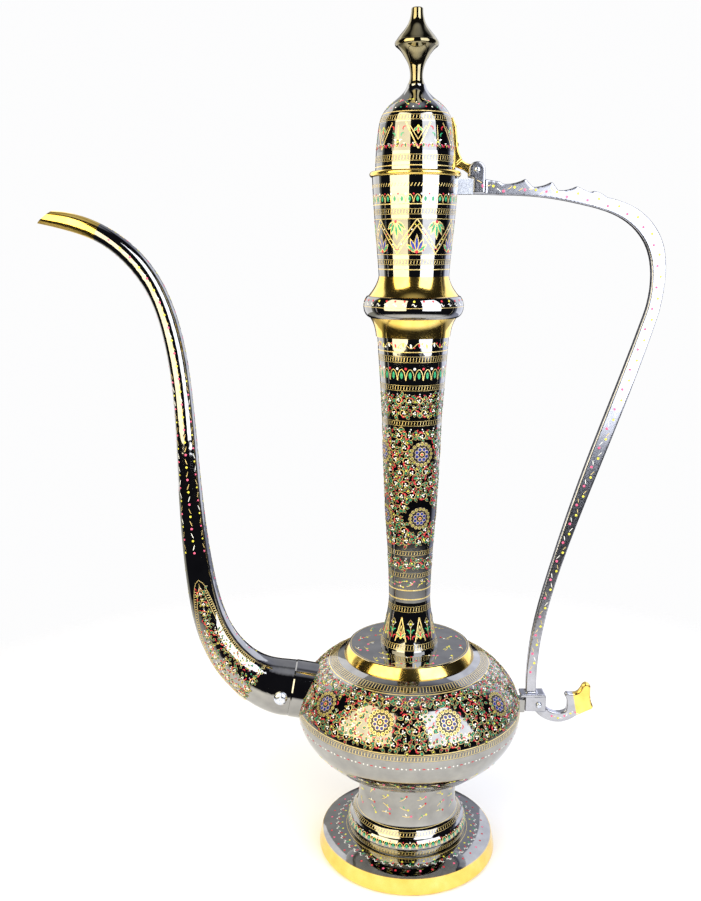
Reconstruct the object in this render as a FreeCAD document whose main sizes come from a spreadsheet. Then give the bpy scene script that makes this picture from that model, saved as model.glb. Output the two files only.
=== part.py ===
import FreeCAD, Part
import math
import os

import Sketcher
from FreeCAD import Placement, Rotation, Vector

# A tall engraved brass ewer with a curved spout, a cast handle and a hinged domed lid, in millimetres.
# Origin: the centre of the foot on the surface it stands on. +Z up, spout towards -X, handle towards +X.

DRIVING_SIZES = {
    # foot and pedestal
    "wall": 1.4,
    "foot_radius": 67.8,
    "foot_edge_radius": 3.2,
    "foot_skirt_height": 13.2,
    "foot_seat_z": 16.5,
    "pedestal_ring_radius": 45.0,
    "pedestal_ring_top_z": 28.6,
    "waist_radius": 37.1,
    "web_thickness": 2.2,
    "foot_boss_radius": 24.0,
    "body_boss_radius": 20.0,
    # belly and shoulder
    "belly_base_z": 66.0,
    "belly_base_radius": 38.0,
    "belly_radius": 83.8,
    "belly_equator_z": 115.0,
    "shoulder_z": 158.0,
    "disc_radius": 48.5,
    "disc_top_radius": 45.0,
    "disc_top_z": 166.0,
    "neck_hole_radius": 14.0,
    # neck, collar and cup
    "bell_radius": 21.5,
    "neck_waist_radius": 15.2,
    "neck_waist_z": 203.0,
    "neck_top_radius": 25.0,
    "neck_top_z": 395.6,
    "collar_radius": 34.8,
    "collar_top_z": 437.0,
    "collar_bore_radius": 21.6,
    "cup_base_radius": 24.3,
    "cup_radius": 29.2,
    "cup_rim_z": 502.6,
    # lid
    "lid_gap": 0.15,
    "lid_ring_radius": 31.0,
    "lid_ring_height": 3.6,
    "lid_lip_depth": 3.0,
    "lid_lip_clearance": 0.7,
    "dome_radius": 27.0,
    "dome_crown_z": 562.0,
    "dome_crown_radius": 6.0,
    "finial_radius": 14.6,
    "finial_tip_radius": 3.9,
    "total_height": 610.0,
    "strap_thickness": 1.8,
    "strap_width": 8.0,
    # hinge
    "hinge_x": 41.5,
    "hinge_z": 507.5,
    "hinge_pin_radius": 1.25,
    "hinge_play": 0.05,
    "knuckle_radius": 5.2,
    "knuckle_width": 4.0,
    "ear_radius": 5.6,
    "ear_gap": 4.5,
    "ear_thickness": 2.3,
    # spout
    "spout_wall": 1.5,
    "spout_root_radius": 20.9,
    "socket_x": -88.4,
    "socket_z": 130.0,
    "socket_tilt": 10.0,
    "spigot_length": 14.0,
    "spigot_taper": 2.4,
    "spigot_wall": 2.2,
    "socket_bore_radius": 13.0,
    "spout_screw_radius": 2.4,
    "spout_screw_head_radius": 5.0,
    "spout_screw_seat_depth": 0.6,
    # handle
    "handle_thickness": 6.0,
    "handle_end_x": 39.0,
    "arm_top_z": 501.5,
    "arm_bottom_z": 491.6,
    "plate_top_z": 126.6,
    "plate_thickness": 2.4,
    "plate_width": 11.0,
    "fork_x": 88.3,
    "fork_width": 8.6,
    "fork_gap": 2.8,
    "tongue_thickness": 2.4,
    "low_screw_x": 98.6,
    "low_screw_z": 117.5,
    "small_screw_radius": 1.25,
    "small_screw_head_radius": 2.2,
    "small_screw_head_height": 1.6,
    "small_nut_height": 2.0,
    "screw_clearance": 0.1,
}


class Size:
    """A length worked out from the sheet: its value now, and the expression that keeps a feature bound to it."""

    def __init__(self, value, text):
        self.value = value
        self.text = text

    def joined(self, sign, other, value):
        return Size(value, "(%s %s %s)" % (self.text, sign, text_of(other)))

    def __add__(self, other):
        return self.joined("+", other, self.value + value_of(other))

    def __sub__(self, other):
        return self.joined("-", other, self.value - value_of(other))

    def __mul__(self, other):
        return self.joined("*", other, self.value * value_of(other))

    def __truediv__(self, other):
        return self.joined("/", other, self.value / value_of(other))

    def __neg__(self):
        return self * -1


def value_of(size):
    return size.value if isinstance(size, Size) else float(size)


def text_of(size):
    return size.text if isinstance(size, Size) else "%.6f" % size


class Sheet:
    """The spreadsheet of driving dimensions; each alias is read as an attribute that gives a Size."""

    def __init__(self, doc, sizes):
        sheet = doc.addObject("Spreadsheet::Sheet", "Dims")
        for row, (alias, number) in enumerate(sizes.items(), start=1):
            sheet.set("A%d" % row, alias)
            sheet.set("B%d" % row, repr(number))
            sheet.setAlias("B%d" % row, alias)
        doc.recompute()
        self.sizes = {alias: Size(sheet.get(alias), "Dims." + alias) for alias in sizes}

    def __getattr__(self, alias):
        return self.sizes[alias]


# The gap between parts that meet face to face, and the play of a part in the hole that it fits.
SEAM = 0.02
FIT = 0.05

doc = FreeCAD.newDocument("ewer")
dims = Sheet(doc, DRIVING_SIZES)


# ---- sketches -------------------------------------------------------------------------------------------------

ORIGIN = -1
V_AXIS = -2
START, END, CENTRE = 1, 2, 3
DIAGONAL = math.sqrt(0.5)


def point(r, z):
    return Vector(value_of(r), value_of(z), 0)


class Outline:
    """A closed sketch outline of lines, three-point arcs and smooth curves, with its corners bound to the sheet."""

    def __init__(self, x, y):
        self.corners = [(x, y)]
        self.runs = []

    def line(self, *corners):
        for corner in corners:
            self.runs.append(Part.LineSegment(point(*self.corners[-1]), point(*corner)))
            self.corners.append(corner)
        return self

    def arc(self, middle, corner):
        self.runs.append(Part.Arc(point(*self.corners[-1]), point(*middle), point(*corner)))
        self.corners.append(corner)
        return self

    def curve(self, *through):
        points = [point(*self.corners[-1])] + [point(*step) for step in through]
        spline = Part.BSplineCurve()
        spline.interpolate(points)
        self.runs.append(spline)
        self.corners.append(through[-1])
        return self

    def close(self):
        return self.line(self.corners[0])

    def draw(self, sketch):
        first = sketch.GeometryCount
        ends = []
        for number, run in enumerate(self.runs):
            index = sketch.addGeometry(run, False)
            ends.append(run_ends(sketch, index, self.corners[number]))
            if isinstance(run, Part.Arc):
                fix_radius(sketch, index)
        for number, (index, (start, end)) in enumerate(zip(range(first, sketch.GeometryCount), ends)):
            following = (number + 1) % len(self.runs)
            sketch.addConstraint(
                Sketcher.Constraint("Coincident", index, end, first + following, ends[following][0])
            )
            pin_point(sketch, index, start, *self.corners[number])


def fix_radius(sketch, index):
    """Hold an arc's radius, except a half circle's, which its two ends already hold."""
    radius = sketch.Geometry[index].Radius
    chord = (sketch.getPoint(index, START) - sketch.getPoint(index, END)).Length
    if chord < 1.99 * radius:
        sketch.addConstraint(Sketcher.Constraint("Radius", index, radius))


def run_ends(sketch, index, corner):
    """The numbers of a run's start and end points: an arc's may be stored the other way round."""
    start = sketch.getPoint(index, START)
    if (start - point(*corner)).Length < 1e-6:
        return START, END
    return END, START


def pin_point(sketch, index, end, x, y):
    for kind, axis_element, size in (("DistanceX", V_AXIS, x), ("DistanceY", ORIGIN, y)):
        if abs(value_of(size)) < 1e-9:
            sketch.addConstraint(Sketcher.Constraint("PointOnObject", index, end, axis_element))
            continue
        number = sketch.addConstraint(
            Sketcher.Constraint(kind, ORIGIN, START, index, end, value_of(size))
        )
        if isinstance(size, Size):
            sketch.setExpression("Constraints[%d]" % number, size.text)


def circle(sketch, x, y, radius):
    """A full circle with its centre and radius bound to the sheet."""
    index = sketch.addGeometry(Part.Circle(point(x, y), Vector(0, 0, 1), value_of(radius)), False)
    pin_point(sketch, index, CENTRE, x, y)
    number = sketch.addConstraint(Sketcher.Constraint("Radius", index, value_of(radius)))
    sketch.setExpression("Constraints[%d]" % number, text_of(radius))


def new_body(label):
    body = doc.addObject("PartDesign::Body", label)
    body.Label = label
    return body


def new_sketch(body, name, plane_role):
    sketch = body.newObject("Sketcher::SketchObject", name)
    plane = next(o for o in body.Origin.OriginFeatures if o.Role == plane_role)
    sketch.AttachmentSupport = [(plane, "")]
    sketch.MapMode = "FlatFace"
    return sketch


# ---- features -------------------------------------------------------------------------------------------------


def turned(label, outline):
    """A body made on a lathe: its outline, drawn in the XZ plane, turned about Z."""
    body = new_body(label)
    sketch = new_sketch(body, label + "_outline", "XZ_Plane")
    outline.draw(sketch)
    turn = body.newObject("PartDesign::Revolution", label + "_turn")
    turn.Profile = sketch
    turn.ReferenceAxis = (sketch, ["V_Axis"])
    turn.Angle = 360
    return body


def pad(body, name, outline, width):
    """Add an outline in the XZ plane, thickened evenly to both sides of it."""
    sketch = new_sketch(body, name + "_outline", "XZ_Plane")
    outline.draw(sketch)
    feature = body.newObject("PartDesign::Pad", name)
    feature.Profile = sketch
    feature.SideType = "Symmetric"
    feature.setExpression("Length", text_of(width))
    return feature


def pocket(body, name, draw, length, plane_role="XZ_Plane", one_side=False, reverse=False):
    """Cut what draw() puts in a sketch, evenly to both sides of its plane or to one side only."""
    sketch = new_sketch(body, name + "_outline", plane_role)
    draw(sketch)
    doc.recompute()
    volume = body.Shape.Volume
    feature = body.newObject("PartDesign::Pocket", name)
    feature.Profile = sketch
    feature.SideType = "One side" if one_side else "Symmetric"
    feature.Reversed = reverse
    feature.setExpression("Length", text_of(length))
    doc.recompute()
    if body.Shape.Volume > volume - 1e-3:
        raise RuntimeError(name + " cuts nothing")
    return feature


def rectangle(low_x, low_y, high_x, high_y):
    corners = (high_x, low_y), (high_x, high_y), (low_x, high_y)
    return Outline(low_x, low_y).line(*corners).close()


def cut(label, base, tool):
    """One shape less another, as a Part boolean."""
    feature = doc.addObject("Part::Cut", label)
    feature.Base = base
    feature.Tool = tool
    feature.Label = label
    return feature


def inset(points, distance):
    """The points moved square to their own curve, to its left as it runs, for the inner face of a wall."""
    flat = [(value_of(x), value_of(y)) for x, y in points]
    moved = []
    for number, (x, y) in enumerate(flat):
        before = flat[max(number - 1, 0)]
        after = flat[min(number + 1, len(flat) - 1)]
        run = math.hypot(after[0] - before[0], after[1] - before[1])
        moved.append(
            (
                x - (after[1] - before[1]) / run * distance,
                y + (after[0] - before[0]) / run * distance,
            )
        )
    return moved


# ---- foot and pedestal ----------------------------------------------------------------------------------------

FLANGE_THICKNESS = 2.0
LOCK_NUT_HEIGHT = 4.5
LOCK_NUT_RIM = 6.0
SPANNER_NOTCH = 3.0


def make_foot_base():
    d = dims
    skirt_top = (d.foot_radius - 2.1, d.foot_skirt_height)
    edge = d.foot_edge_radius
    rest_inner = d.foot_radius - 5.6
    outline = (
        Outline(d.foot_radius - edge, 0)
        .arc((d.foot_radius - edge * (1 - DIAGONAL), edge * (1 - DIAGONAL)), (d.foot_radius, edge))
        .line(skirt_top)
        .curve((60.0, 14.6), (52.0, 15.8), (d.pedestal_ring_radius - 0.5, d.foot_seat_z))
        .line(
            (d.foot_boss_radius + d.screw_clearance, d.foot_seat_z),
            (d.foot_boss_radius + d.screw_clearance, d.foot_seat_z - d.web_thickness),
            (d.pedestal_ring_radius - 1.0, d.foot_seat_z - d.web_thickness),
        )
        .curve((52.0, 13.6), (60.0, 12.3), (d.foot_radius - 4.6, d.foot_skirt_height - 3.0))
        .line((d.foot_radius - 3.0, 3.6), (rest_inner, 0))
        .close()
    )
    return turned("foot_base", outline)


def make_pedestal():
    d = dims
    base = d.foot_seat_z
    top = d.belly_base_z
    waist = (
        (d.waist_radius + 3.0, base + 15.5),
        (d.waist_radius + 0.8, base + 21.5),
        (d.waist_radius, base + 29.5),
        (d.waist_radius + 0.3, top - 10.0),
    )
    under_ring = (d.waist_radius + 4.3, base + 14.5)
    neck = (d.waist_radius + 0.6, top - d.web_thickness)
    inner_waist = inset((neck, waist[3], waist[2], waist[1], under_ring), -d.wall.value)
    outline = (
        Outline(d.pedestal_ring_radius - 0.8, base)
        .arc((d.pedestal_ring_radius + 0.6, base + 5.6), (d.pedestal_ring_radius - 1.6, d.pedestal_ring_top_z))
        .line((d.pedestal_ring_radius - 2.4, d.pedestal_ring_top_z + 0.6))
        .curve(*waist, (d.belly_base_radius + 0.4, top))
        .line(
            (d.body_boss_radius + d.screw_clearance, top),
            (d.body_boss_radius + d.screw_clearance, top - d.web_thickness),
            (inner_waist[0][0], top - d.web_thickness),
        )
        .curve(*inner_waist[1:])
        .line(
            (d.pedestal_ring_radius - 3.0, base + d.web_thickness + 6.0),
            (d.pedestal_ring_radius - 3.0, base + d.web_thickness),
            (d.foot_boss_radius + d.screw_clearance, base + d.web_thickness),
            (d.foot_boss_radius + d.screw_clearance, base),
        )
        .close()
    )
    return turned("pedestal", outline)


def make_foot_boss():
    """The threaded ring that holds pedestal and foot together."""
    d = dims
    flange_z = d.foot_seat_z + d.web_thickness + FIT
    bore = d.foot_boss_radius - 3.5
    outline = (
        Outline(bore, d.foot_seat_z - 8.5)
        .line(
            (d.foot_boss_radius, d.foot_seat_z - 8.5),
            (d.foot_boss_radius, flange_z),
            (d.foot_boss_radius + 4.0, flange_z),
            (d.foot_boss_radius + 4.0, flange_z + FLANGE_THICKNESS),
            (bore, flange_z + FLANGE_THICKNESS),
        )
        .close()
    )
    return turned("foot_boss", outline)


def make_foot_nut():
    """The round lock nut under the foot, with four spanner notches."""
    d = dims
    top = d.foot_seat_z - d.web_thickness - FIT
    low = top - LOCK_NUT_HEIGHT
    bore = d.foot_boss_radius + FIT
    rim = d.foot_boss_radius + LOCK_NUT_RIM
    body = turned("foot_nut", Outline(bore, low).line((rim, low), (rim, top), (bore, top)).close())
    notch = rectangle(rim - 2.0, low - 1.0, rim + 1.0, top + 1.0)
    pocket(body, "foot_nut_notch", notch.draw, SPANNER_NOTCH)
    doc.recompute()
    pattern = body.newObject("PartDesign::PolarPattern", "foot_nut_notches")
    pattern.Originals = [body.Tip]
    pattern.Axis = (body.Origin.OriginFeatures[2], [""])
    pattern.Angle = 360
    pattern.Occurrences = 4
    body.Tip = pattern
    return body


def make_body_boss():
    """The threaded plug on the belly's floor that screws into the pedestal."""
    d = dims
    flange_z = d.belly_base_z + d.wall + FIT
    bore = d.body_boss_radius - 4.0
    outline = (
        Outline(0, flange_z + FLANGE_THICKNESS)
        .line(
            (0, flange_z - 3.0),
            (bore, flange_z - 3.0),
            (bore, d.belly_base_z - 9.0),
            (d.body_boss_radius, d.belly_base_z - 9.0),
            (d.body_boss_radius, flange_z),
            (d.body_boss_radius + 5.0, flange_z),
            (d.body_boss_radius + 5.0, flange_z + FLANGE_THICKNESS),
        )
        .close()
    )
    return turned("body_boss", outline)


# ---- belly and shoulder ---------------------------------------------------------------------------------------


def belly_lower_curve():
    """The belly's outer face from its base to its widest circle."""
    d = dims
    return (
        (d.belly_base_radius, d.belly_base_z),
        (d.belly_radius * 0.6, d.belly_base_z + 6.2),
        (d.belly_radius * 0.7, d.belly_base_z + 11.2),
        (d.belly_radius * 0.805, d.belly_base_z + 18.4),
        (d.belly_radius * 0.938, d.belly_base_z + 32.0),
        (d.belly_radius, d.belly_equator_z),
    )


def belly_upper_curve():
    """The belly's outer face from its widest circle to the shoulder."""
    d = dims
    return (
        (d.belly_radius, d.belly_equator_z),
        (d.belly_radius * 0.975, d.belly_equator_z + 13.0),
        (d.belly_radius * 0.909, d.belly_equator_z + 23.0),
        (d.belly_radius * 0.797, d.belly_equator_z + 33.0),
        (d.disc_radius, d.shoulder_z),
    )


def make_body_lower():
    d = dims
    outer = belly_lower_curve()
    inner = list(reversed(inset(outer, d.wall.value)))
    floor_z = d.belly_base_z + d.wall
    outline = (
        Outline(*outer[0])
        .curve(*outer[1:])
        .line((d.belly_radius - d.wall, d.belly_equator_z))
        .curve(*inner[1:-1], (d.belly_base_radius - 1.0, floor_z))
        .line(
            (d.body_boss_radius + FIT, floor_z),
            (d.body_boss_radius + FIT, d.belly_base_z),
        )
        .close()
    )
    return turned("body_lower", outline)


def make_body_upper():
    d = dims
    outer = belly_upper_curve()
    inner = list(reversed(inset(outer, d.wall.value)))
    ceiling_z = d.shoulder_z - d.wall
    outline = (
        Outline(*outer[0])
        .curve(*outer[1:])
        .line(
            (d.neck_hole_radius + FIT, d.shoulder_z),
            (d.neck_hole_radius + FIT, ceiling_z),
            (d.disc_radius - 1.0, ceiling_z),
        )
        .curve(*inner[1:-1], (d.belly_radius - d.wall, d.belly_equator_z))
        .close()
    )
    body = turned("body_upper", outline)
    hole_z = d.socket_z + 0.5
    pocket(
        body,
        "pouring_hole",
        lambda sketch: circle(sketch, 0, hole_z, d.socket_bore_radius),
        d.belly_radius + 2.0,
        plane_role="YZ_Plane",
        one_side=True,
    )
    return body


def make_shoulder_disc():
    d = dims
    outline = (
        Outline(d.disc_radius - 0.2, d.shoulder_z + SEAM)
        .line((d.disc_radius, d.shoulder_z + 0.8))
        .arc((d.disc_radius - 1.5, d.disc_top_z - 3.6), (d.disc_top_radius, d.disc_top_z - 0.4))
        .line(
            (d.disc_top_radius - 0.6, d.disc_top_z),
            (d.neck_hole_radius + FIT, d.disc_top_z),
            (d.neck_hole_radius + FIT, d.shoulder_z + SEAM),
        )
        .close()
    )
    return turned("shoulder_disc", outline)


# ---- neck, collar and cup -------------------------------------------------------------------------------------


def make_neck_sleeve():
    """The threaded tube that pulls belly, disc and neck together; its flange is inside the belly."""
    d = dims
    flange_z = d.shoulder_z - d.wall - FIT
    bore = d.neck_hole_radius - 2.2
    outline = (
        Outline(bore, flange_z - FLANGE_THICKNESS)
        .line(
            (d.neck_hole_radius + 4.0, flange_z - FLANGE_THICKNESS),
            (d.neck_hole_radius + 4.0, flange_z),
            (d.neck_hole_radius, flange_z),
            (d.neck_hole_radius, d.disc_top_z + 14.0),
            (bore, d.disc_top_z + 14.0),
        )
        .close()
    )
    return turned("neck_sleeve", outline)


def make_neck_bell():
    d = dims
    base = d.disc_top_z + SEAM
    bore = d.neck_hole_radius + FIT
    throat = d.neck_waist_radius - d.wall
    outline = (
        Outline(d.bell_radius, base)
        .line((d.bell_radius, base + 1.2))
        .curve(
            (19.6, base + 9.0),
            (17.6, base + 19.0),
            (15.9, base + 29.0),
            (d.neck_waist_radius, d.neck_waist_z),
        )
        .line(
            (throat, d.neck_waist_z),
            (throat, base + 22.0),
            (bore, base + 18.0),
            (bore, base),
        )
        .close()
    )
    return turned("neck_bell", outline)


def make_neck_tube():
    d = dims
    base = d.neck_waist_z + SEAM
    wall = d.wall.value
    outer = (
        (d.neck_waist_radius, base),
        (16.9, 246.0),
        (19.6, 292.0),
        (21.1, 336.0),
        (23.4, 372.0),
        (d.neck_top_radius, d.neck_top_z),
    )
    inner = [(value_of(r) - wall, value_of(z)) for r, z in reversed(outer[1:-1])]
    outline = (
        Outline(*outer[0])
        .curve(*outer[1:])
        .line(
            (d.collar_bore_radius, d.neck_top_z),
            (d.collar_bore_radius, d.neck_top_z - 12.0),
            inner[0],
        )
        .curve(*inner[1:], (d.neck_waist_radius - wall, base))
        .close()
    )
    return turned("neck_tube", outline)


def make_neck_collar():
    d = dims
    base = d.neck_top_z + SEAM
    outline = (
        Outline(d.neck_top_radius + 0.9, base)
        .curve((26.5, base + 4.0), (28.0, base + 9.0), (30.2, base + 13.0))
        .line((31.2, base + 13.4))
        .curve(
            (d.collar_radius - 0.8, base + 16.6),
            (d.collar_radius, base + 20.6),
            (d.collar_radius - 0.6, base + 24.6),
            (d.collar_radius - 2.2, base + 27.6),
        )
        .line((d.collar_radius - 3.4, base + 28.0))
        .curve((28.4, base + 31.8), (25.8, base + 36.4), (d.cup_base_radius, d.collar_top_z))
        .line((d.collar_bore_radius, d.collar_top_z), (d.collar_bore_radius, base))
        .close()
    )
    return turned("neck_collar", outline)


def make_collar_sleeve():
    """The threaded tube that joins neck, collar and cup."""
    d = dims
    low = d.neck_top_z - 11.0
    top = d.collar_top_z + 9.0
    outer = d.collar_bore_radius - FIT
    bore = outer - 2.0
    outline = Outline(bore, low).line((outer, low), (outer, top), (bore, top)).close()
    return turned("collar_sleeve", outline)


def cup_curve():
    """The cup's outer face from the collar to its rim."""
    d = dims
    return (
        (d.cup_base_radius, d.collar_top_z + SEAM),
        (25.2, 450.0),
        (26.7, 467.0),
        (28.0, 483.0),
        (d.cup_radius, d.cup_rim_z),
    )


def make_mouth_cup():
    d = dims
    base = d.collar_top_z + SEAM
    wall = d.wall + 0.2
    outer = cup_curve()
    inner = [(value_of(r) - wall.value, value_of(z)) for r, z in reversed(outer[1:-1])]
    outline = (
        Outline(*outer[0])
        .curve(*outer[1:])
        .line((d.cup_radius - wall, d.cup_rim_z))
        .curve(*inner)
        .line(
            (d.cup_base_radius - 0.8, base + 9.5),
            (d.collar_bore_radius, base + 9.5),
            (d.collar_bore_radius, base),
        )
        .close()
    )
    body = turned("mouth_cup", outline)
    pocket(
        body,
        "handle_screw_hole",
        lambda sketch: circle(sketch, 0, top_screw_z(), d.small_screw_radius + d.screw_clearance),
        d.cup_radius + 2.0,
        plane_role="YZ_Plane",
        one_side=True,
        reverse=True,
    )
    return body


# ---- lid ------------------------------------------------------------------------------------------------------


def dome_curve():
    """The dome's outer face from its base to the crown."""
    d = dims
    return (
        (d.dome_radius, ring_top_z()),
        (26.8, 516.0),
        (25.6, 530.0),
        (22.4, 543.4),
        (16.6, 550.2),
        (10.6, 555.0),
        (d.dome_crown_radius, d.dome_crown_z),
    )


def ring_top_z():
    d = dims
    return d.cup_rim_z + d.lid_gap + d.lid_ring_height


def make_lid_rim():
    """The brass ring under the dome, with the lip that locates the lid in the cup."""
    d = dims
    seat = d.cup_rim_z + d.lid_gap
    lip = d.cup_radius - d.wall - 0.2 - d.lid_lip_clearance
    bore = lip - 1.5
    outline = (
        Outline(bore, seat - d.lid_lip_depth)
        .line(
            (lip, seat - d.lid_lip_depth),
            (lip, seat),
            (d.lid_ring_radius - 1.4, seat),
        )
        .arc((d.lid_ring_radius, seat + d.lid_ring_height / 2), (d.lid_ring_radius - 1.4, ring_top_z()))
        .line((bore, ring_top_z()))
        .close()
    )
    return turned("lid_rim", outline)


def make_lid_dome():
    d = dims
    wall = d.wall - 0.2
    outer = dome_curve()
    inner = list(reversed(inset(outer, wall.value)))
    hole = stud_radius() + d.screw_clearance
    outline = (
        Outline(outer[0][0], outer[0][1] + SEAM)
        .curve(*outer[1:])
        .line(
            (hole, d.dome_crown_z),
            (hole, d.dome_crown_z - wall),
            (d.dome_crown_radius - 1.0, d.dome_crown_z - wall),
        )
        .curve(*inner[1:-1], (d.dome_radius - wall, outer[0][1] + SEAM))
        .close()
    )
    return cut("lid_dome", turned("dome_shell", outline), rivet_rods("dome_rivet_bores"))


def stud_radius():
    return dims.small_screw_radius + 0.75


def make_finial():
    d = dims
    base = d.dome_crown_z + SEAM
    top = d.total_height
    tip = d.finial_tip_radius
    edge = 1.0
    outline = (
        Outline(0, base - 12.0)
        .line((stud_radius(), base - 12.0), (stud_radius(), base), (d.dome_crown_radius, base))
        .curve(
            (4.5, base + 3.4),
            (4.3, base + 7.4),
            (5.7, base + 13.2),
            (8.0, base + 17.4),
            (11.2, base + 21.8),
            (d.finial_radius - 0.8, top - 24.0),
        )
        .arc((d.finial_radius, top - 22.2), (d.finial_radius - 0.8, top - 20.4))
        .curve((9.6, top - 15.0), (6.4, top - 10.7), (4.6, top - 6.2), (tip, top - edge))
        .arc((tip - edge * (1 - DIAGONAL), top - edge * (1 - DIAGONAL)), (tip - edge, top))
        .line((0, top))
        .close()
    )
    return turned("finial", outline)


def make_lid_strap():
    """The cast strap on the dome with its gusset and the hinge knuckle, hollowed to fit the dome."""
    d = dims
    blank = new_body("strap_blank")
    strap = (
        Outline(20.0, 539.0)
        .line((24.4, 541.4))
        .curve((26.4, 536.4), (27.5, 529.0), (28.3, 522.0), (31.2, 514.8))
        .line((26.0, 510.0))
        .line((24.0, 520.0))
        .close()
    )
    pad(blank, "strap_band", strap, d.strap_width)
    gusset = (
        Outline(26.0, 510.0)
        .line((33.0, 507.4), (d.hinge_x - 3.0, d.hinge_z - 4.0), (d.hinge_x, d.hinge_z + 5.0))
        .curve((36.0, 511.6), (32.6, 513.2), (28.6, 519.6))
        .close()
    )
    pad(blank, "strap_gusset", gusset, d.knuckle_width)
    knuckle = new_sketch(blank, "knuckle_outline", "XZ_Plane")
    circle(knuckle, d.hinge_x, d.hinge_z, d.knuckle_radius)
    barrel = blank.newObject("PartDesign::Pad", "knuckle")
    barrel.Profile = knuckle
    barrel.SideType = "Symmetric"
    barrel.setExpression("Length", d.knuckle_width.text)
    pocket(
        blank,
        "knuckle_bore",
        lambda sketch: circle(sketch, d.hinge_x, d.hinge_z, d.hinge_pin_radius + d.hinge_play),
        d.knuckle_width * 2,
    )
    outer = dome_curve()
    form = (
        Outline(*outer[0])
        .curve(*outer[1:])
        .line((0, d.dome_crown_z), (0, outer[0][1]))
        .close()
    )
    fitted = cut("strap_fitted", blank, turned("dome_form", form))
    return cut("lid_strap", fitted, rivet_rods("strap_rivet_bores"))


STRAP_RIVETS_Z = (535.4, 524.0)
RIVET_RADIUS = 1.2
RIVET_HEAD_RADIUS = 2.0


def rivet_rods(label):
    """Plain rods where the two strap rivets go, as a tool for their holes."""
    rods = []
    for number, z in enumerate(STRAP_RIVETS_Z):
        rod = doc.addObject("Part::Cylinder", "%s_%d" % (label, number))
        rod.Radius = RIVET_RADIUS + FIT
        rod.Height = 12.0
        rod.Placement = Placement(Vector(20.0, 0, z), Rotation(Vector(0, 1, 0), 90))
        rods.append(rod)
    group = doc.addObject("Part::MultiFuse", label)
    group.Shapes = rods
    return group


def make_strap_rivets():
    """Two rivets through strap and dome, with low round heads outside and inside."""
    rivets = []
    for z in STRAP_RIVETS_Z:
        outside = dome_radius_at(z) + dims.strap_thickness.value + 0.1
        inside = dome_radius_at(z) - dims.wall.value - 0.35
        profile = (
            (inside - 0.8, 0.0),
            (inside - 0.8, RIVET_HEAD_RADIUS - 0.6),
            (inside, RIVET_HEAD_RADIUS),
            (inside, RIVET_RADIUS),
            (outside, RIVET_RADIUS),
            (outside, RIVET_HEAD_RADIUS),
            (outside + 0.8, RIVET_HEAD_RADIUS - 0.7),
            (outside + 0.8, 0.0),
        )
        wire = Part.makePolygon([Vector(x, 0, z + r) for x, r in profile + profile[:1]])
        rivets.append(Part.Face(wire).revolve(Vector(0, 0, z), Vector(1, 0, 0), 360))
    feature = doc.addObject("Part::Feature", "strap_rivets")
    feature.Shape = Part.makeCompound(rivets)
    feature.Label = "strap_rivets"
    return feature


def dome_radius_at(z):
    """The dome's outer radius at a height, from the straight runs between its points."""
    points = [(value_of(r), value_of(height)) for r, height in dome_curve()]
    for (r0, z0), (r1, z1) in zip(points, points[1:]):
        if z0 <= z <= z1:
            return r0 + (r1 - r0) * (z - z0) / (z1 - z0)
    raise ValueError("no dome at z = %g" % z)


# ---- screws and nuts ------------------------------------------------------------------------------------------


def pan_screw(label, shank, length, head, head_height, place):
    """A pan-head screw with a straight slot: head up along its own Z, shank down, then put in its place."""
    outline = (
        Outline(0, -length)
        .line((shank, -length), (shank, 0), (head, 0), (head, head_height * 0.45))
        .arc((head * 0.72, head_height * 0.88), (0, head_height))
        .close()
    )
    body = turned(label, outline)
    slot = rectangle(head * -0.13, head_height * 0.55, head * 0.13, head_height * 1.4)
    pocket(body, label + "_slot", slot.draw, head * 2.4)
    body.Placement = place
    return body


def hex_nut(label, bore, height, place):
    prism = doc.addObject("Part::Prism", label + "_hexagon")
    prism.Polygon = 6
    prism.setExpression("Circumradius", text_of(bore * 2.1))
    prism.setExpression("Height", text_of(height))
    rod = doc.addObject("Part::Cylinder", label + "_bore")
    rod.setExpression("Radius", text_of(bore))
    rod.setExpression("Height", text_of(height))
    nut = cut(label, prism, rod)
    nut.Placement = place
    return nut


def facing_front(x, y, z):
    """A placement whose own +Z looks towards -Y."""
    return Placement(Vector(value_of(x), value_of(y), value_of(z)), Rotation(Vector(1, 0, 0), 90))


def make_hinge_hardware():
    d = dims
    side = d.ear_gap / 2 + d.ear_thickness
    length = side * 2 + d.small_nut_height + 0.4
    pan_screw(
        "hinge_screw",
        d.hinge_pin_radius,
        length,
        d.small_screw_head_radius,
        d.small_screw_head_height,
        facing_front(d.hinge_x, -side, d.hinge_z),
    )
    hex_nut(
        "hinge_nut",
        d.hinge_pin_radius + SEAM,
        d.small_nut_height,
        facing_front(d.hinge_x, side + d.small_nut_height + SEAM, d.hinge_z),
    )


def make_low_hardware():
    d = dims
    side = d.fork_width / 2
    length = side * 2 + d.small_nut_height + 0.4
    pan_screw(
        "handle_low_screw",
        d.small_screw_radius,
        length,
        d.small_screw_head_radius,
        d.small_screw_head_height,
        facing_front(d.low_screw_x, -side, d.low_screw_z),
    )
    hex_nut(
        "handle_low_nut",
        d.small_screw_radius + SEAM,
        d.small_nut_height,
        facing_front(d.low_screw_x, side + d.small_nut_height + SEAM, d.low_screw_z),
    )


def top_screw_z():
    return dims.arm_bottom_z + 4.6


def make_handle_top_screw():
    """The screw from inside the cup, through wall and lug, into the end of the handle."""
    d = dims
    inner_face = cup_radius_at_screw() - d.wall - 0.45
    place = Placement(Vector(value_of(inner_face), 0, value_of(top_screw_z())), Rotation(Vector(0, 1, 0), -90))
    return pan_screw(
        "handle_top_screw",
        d.small_screw_radius,
        d.handle_end_x - inner_face + 6.0,
        d.small_screw_head_radius,
        d.small_screw_head_height,
        place,
    )


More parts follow.
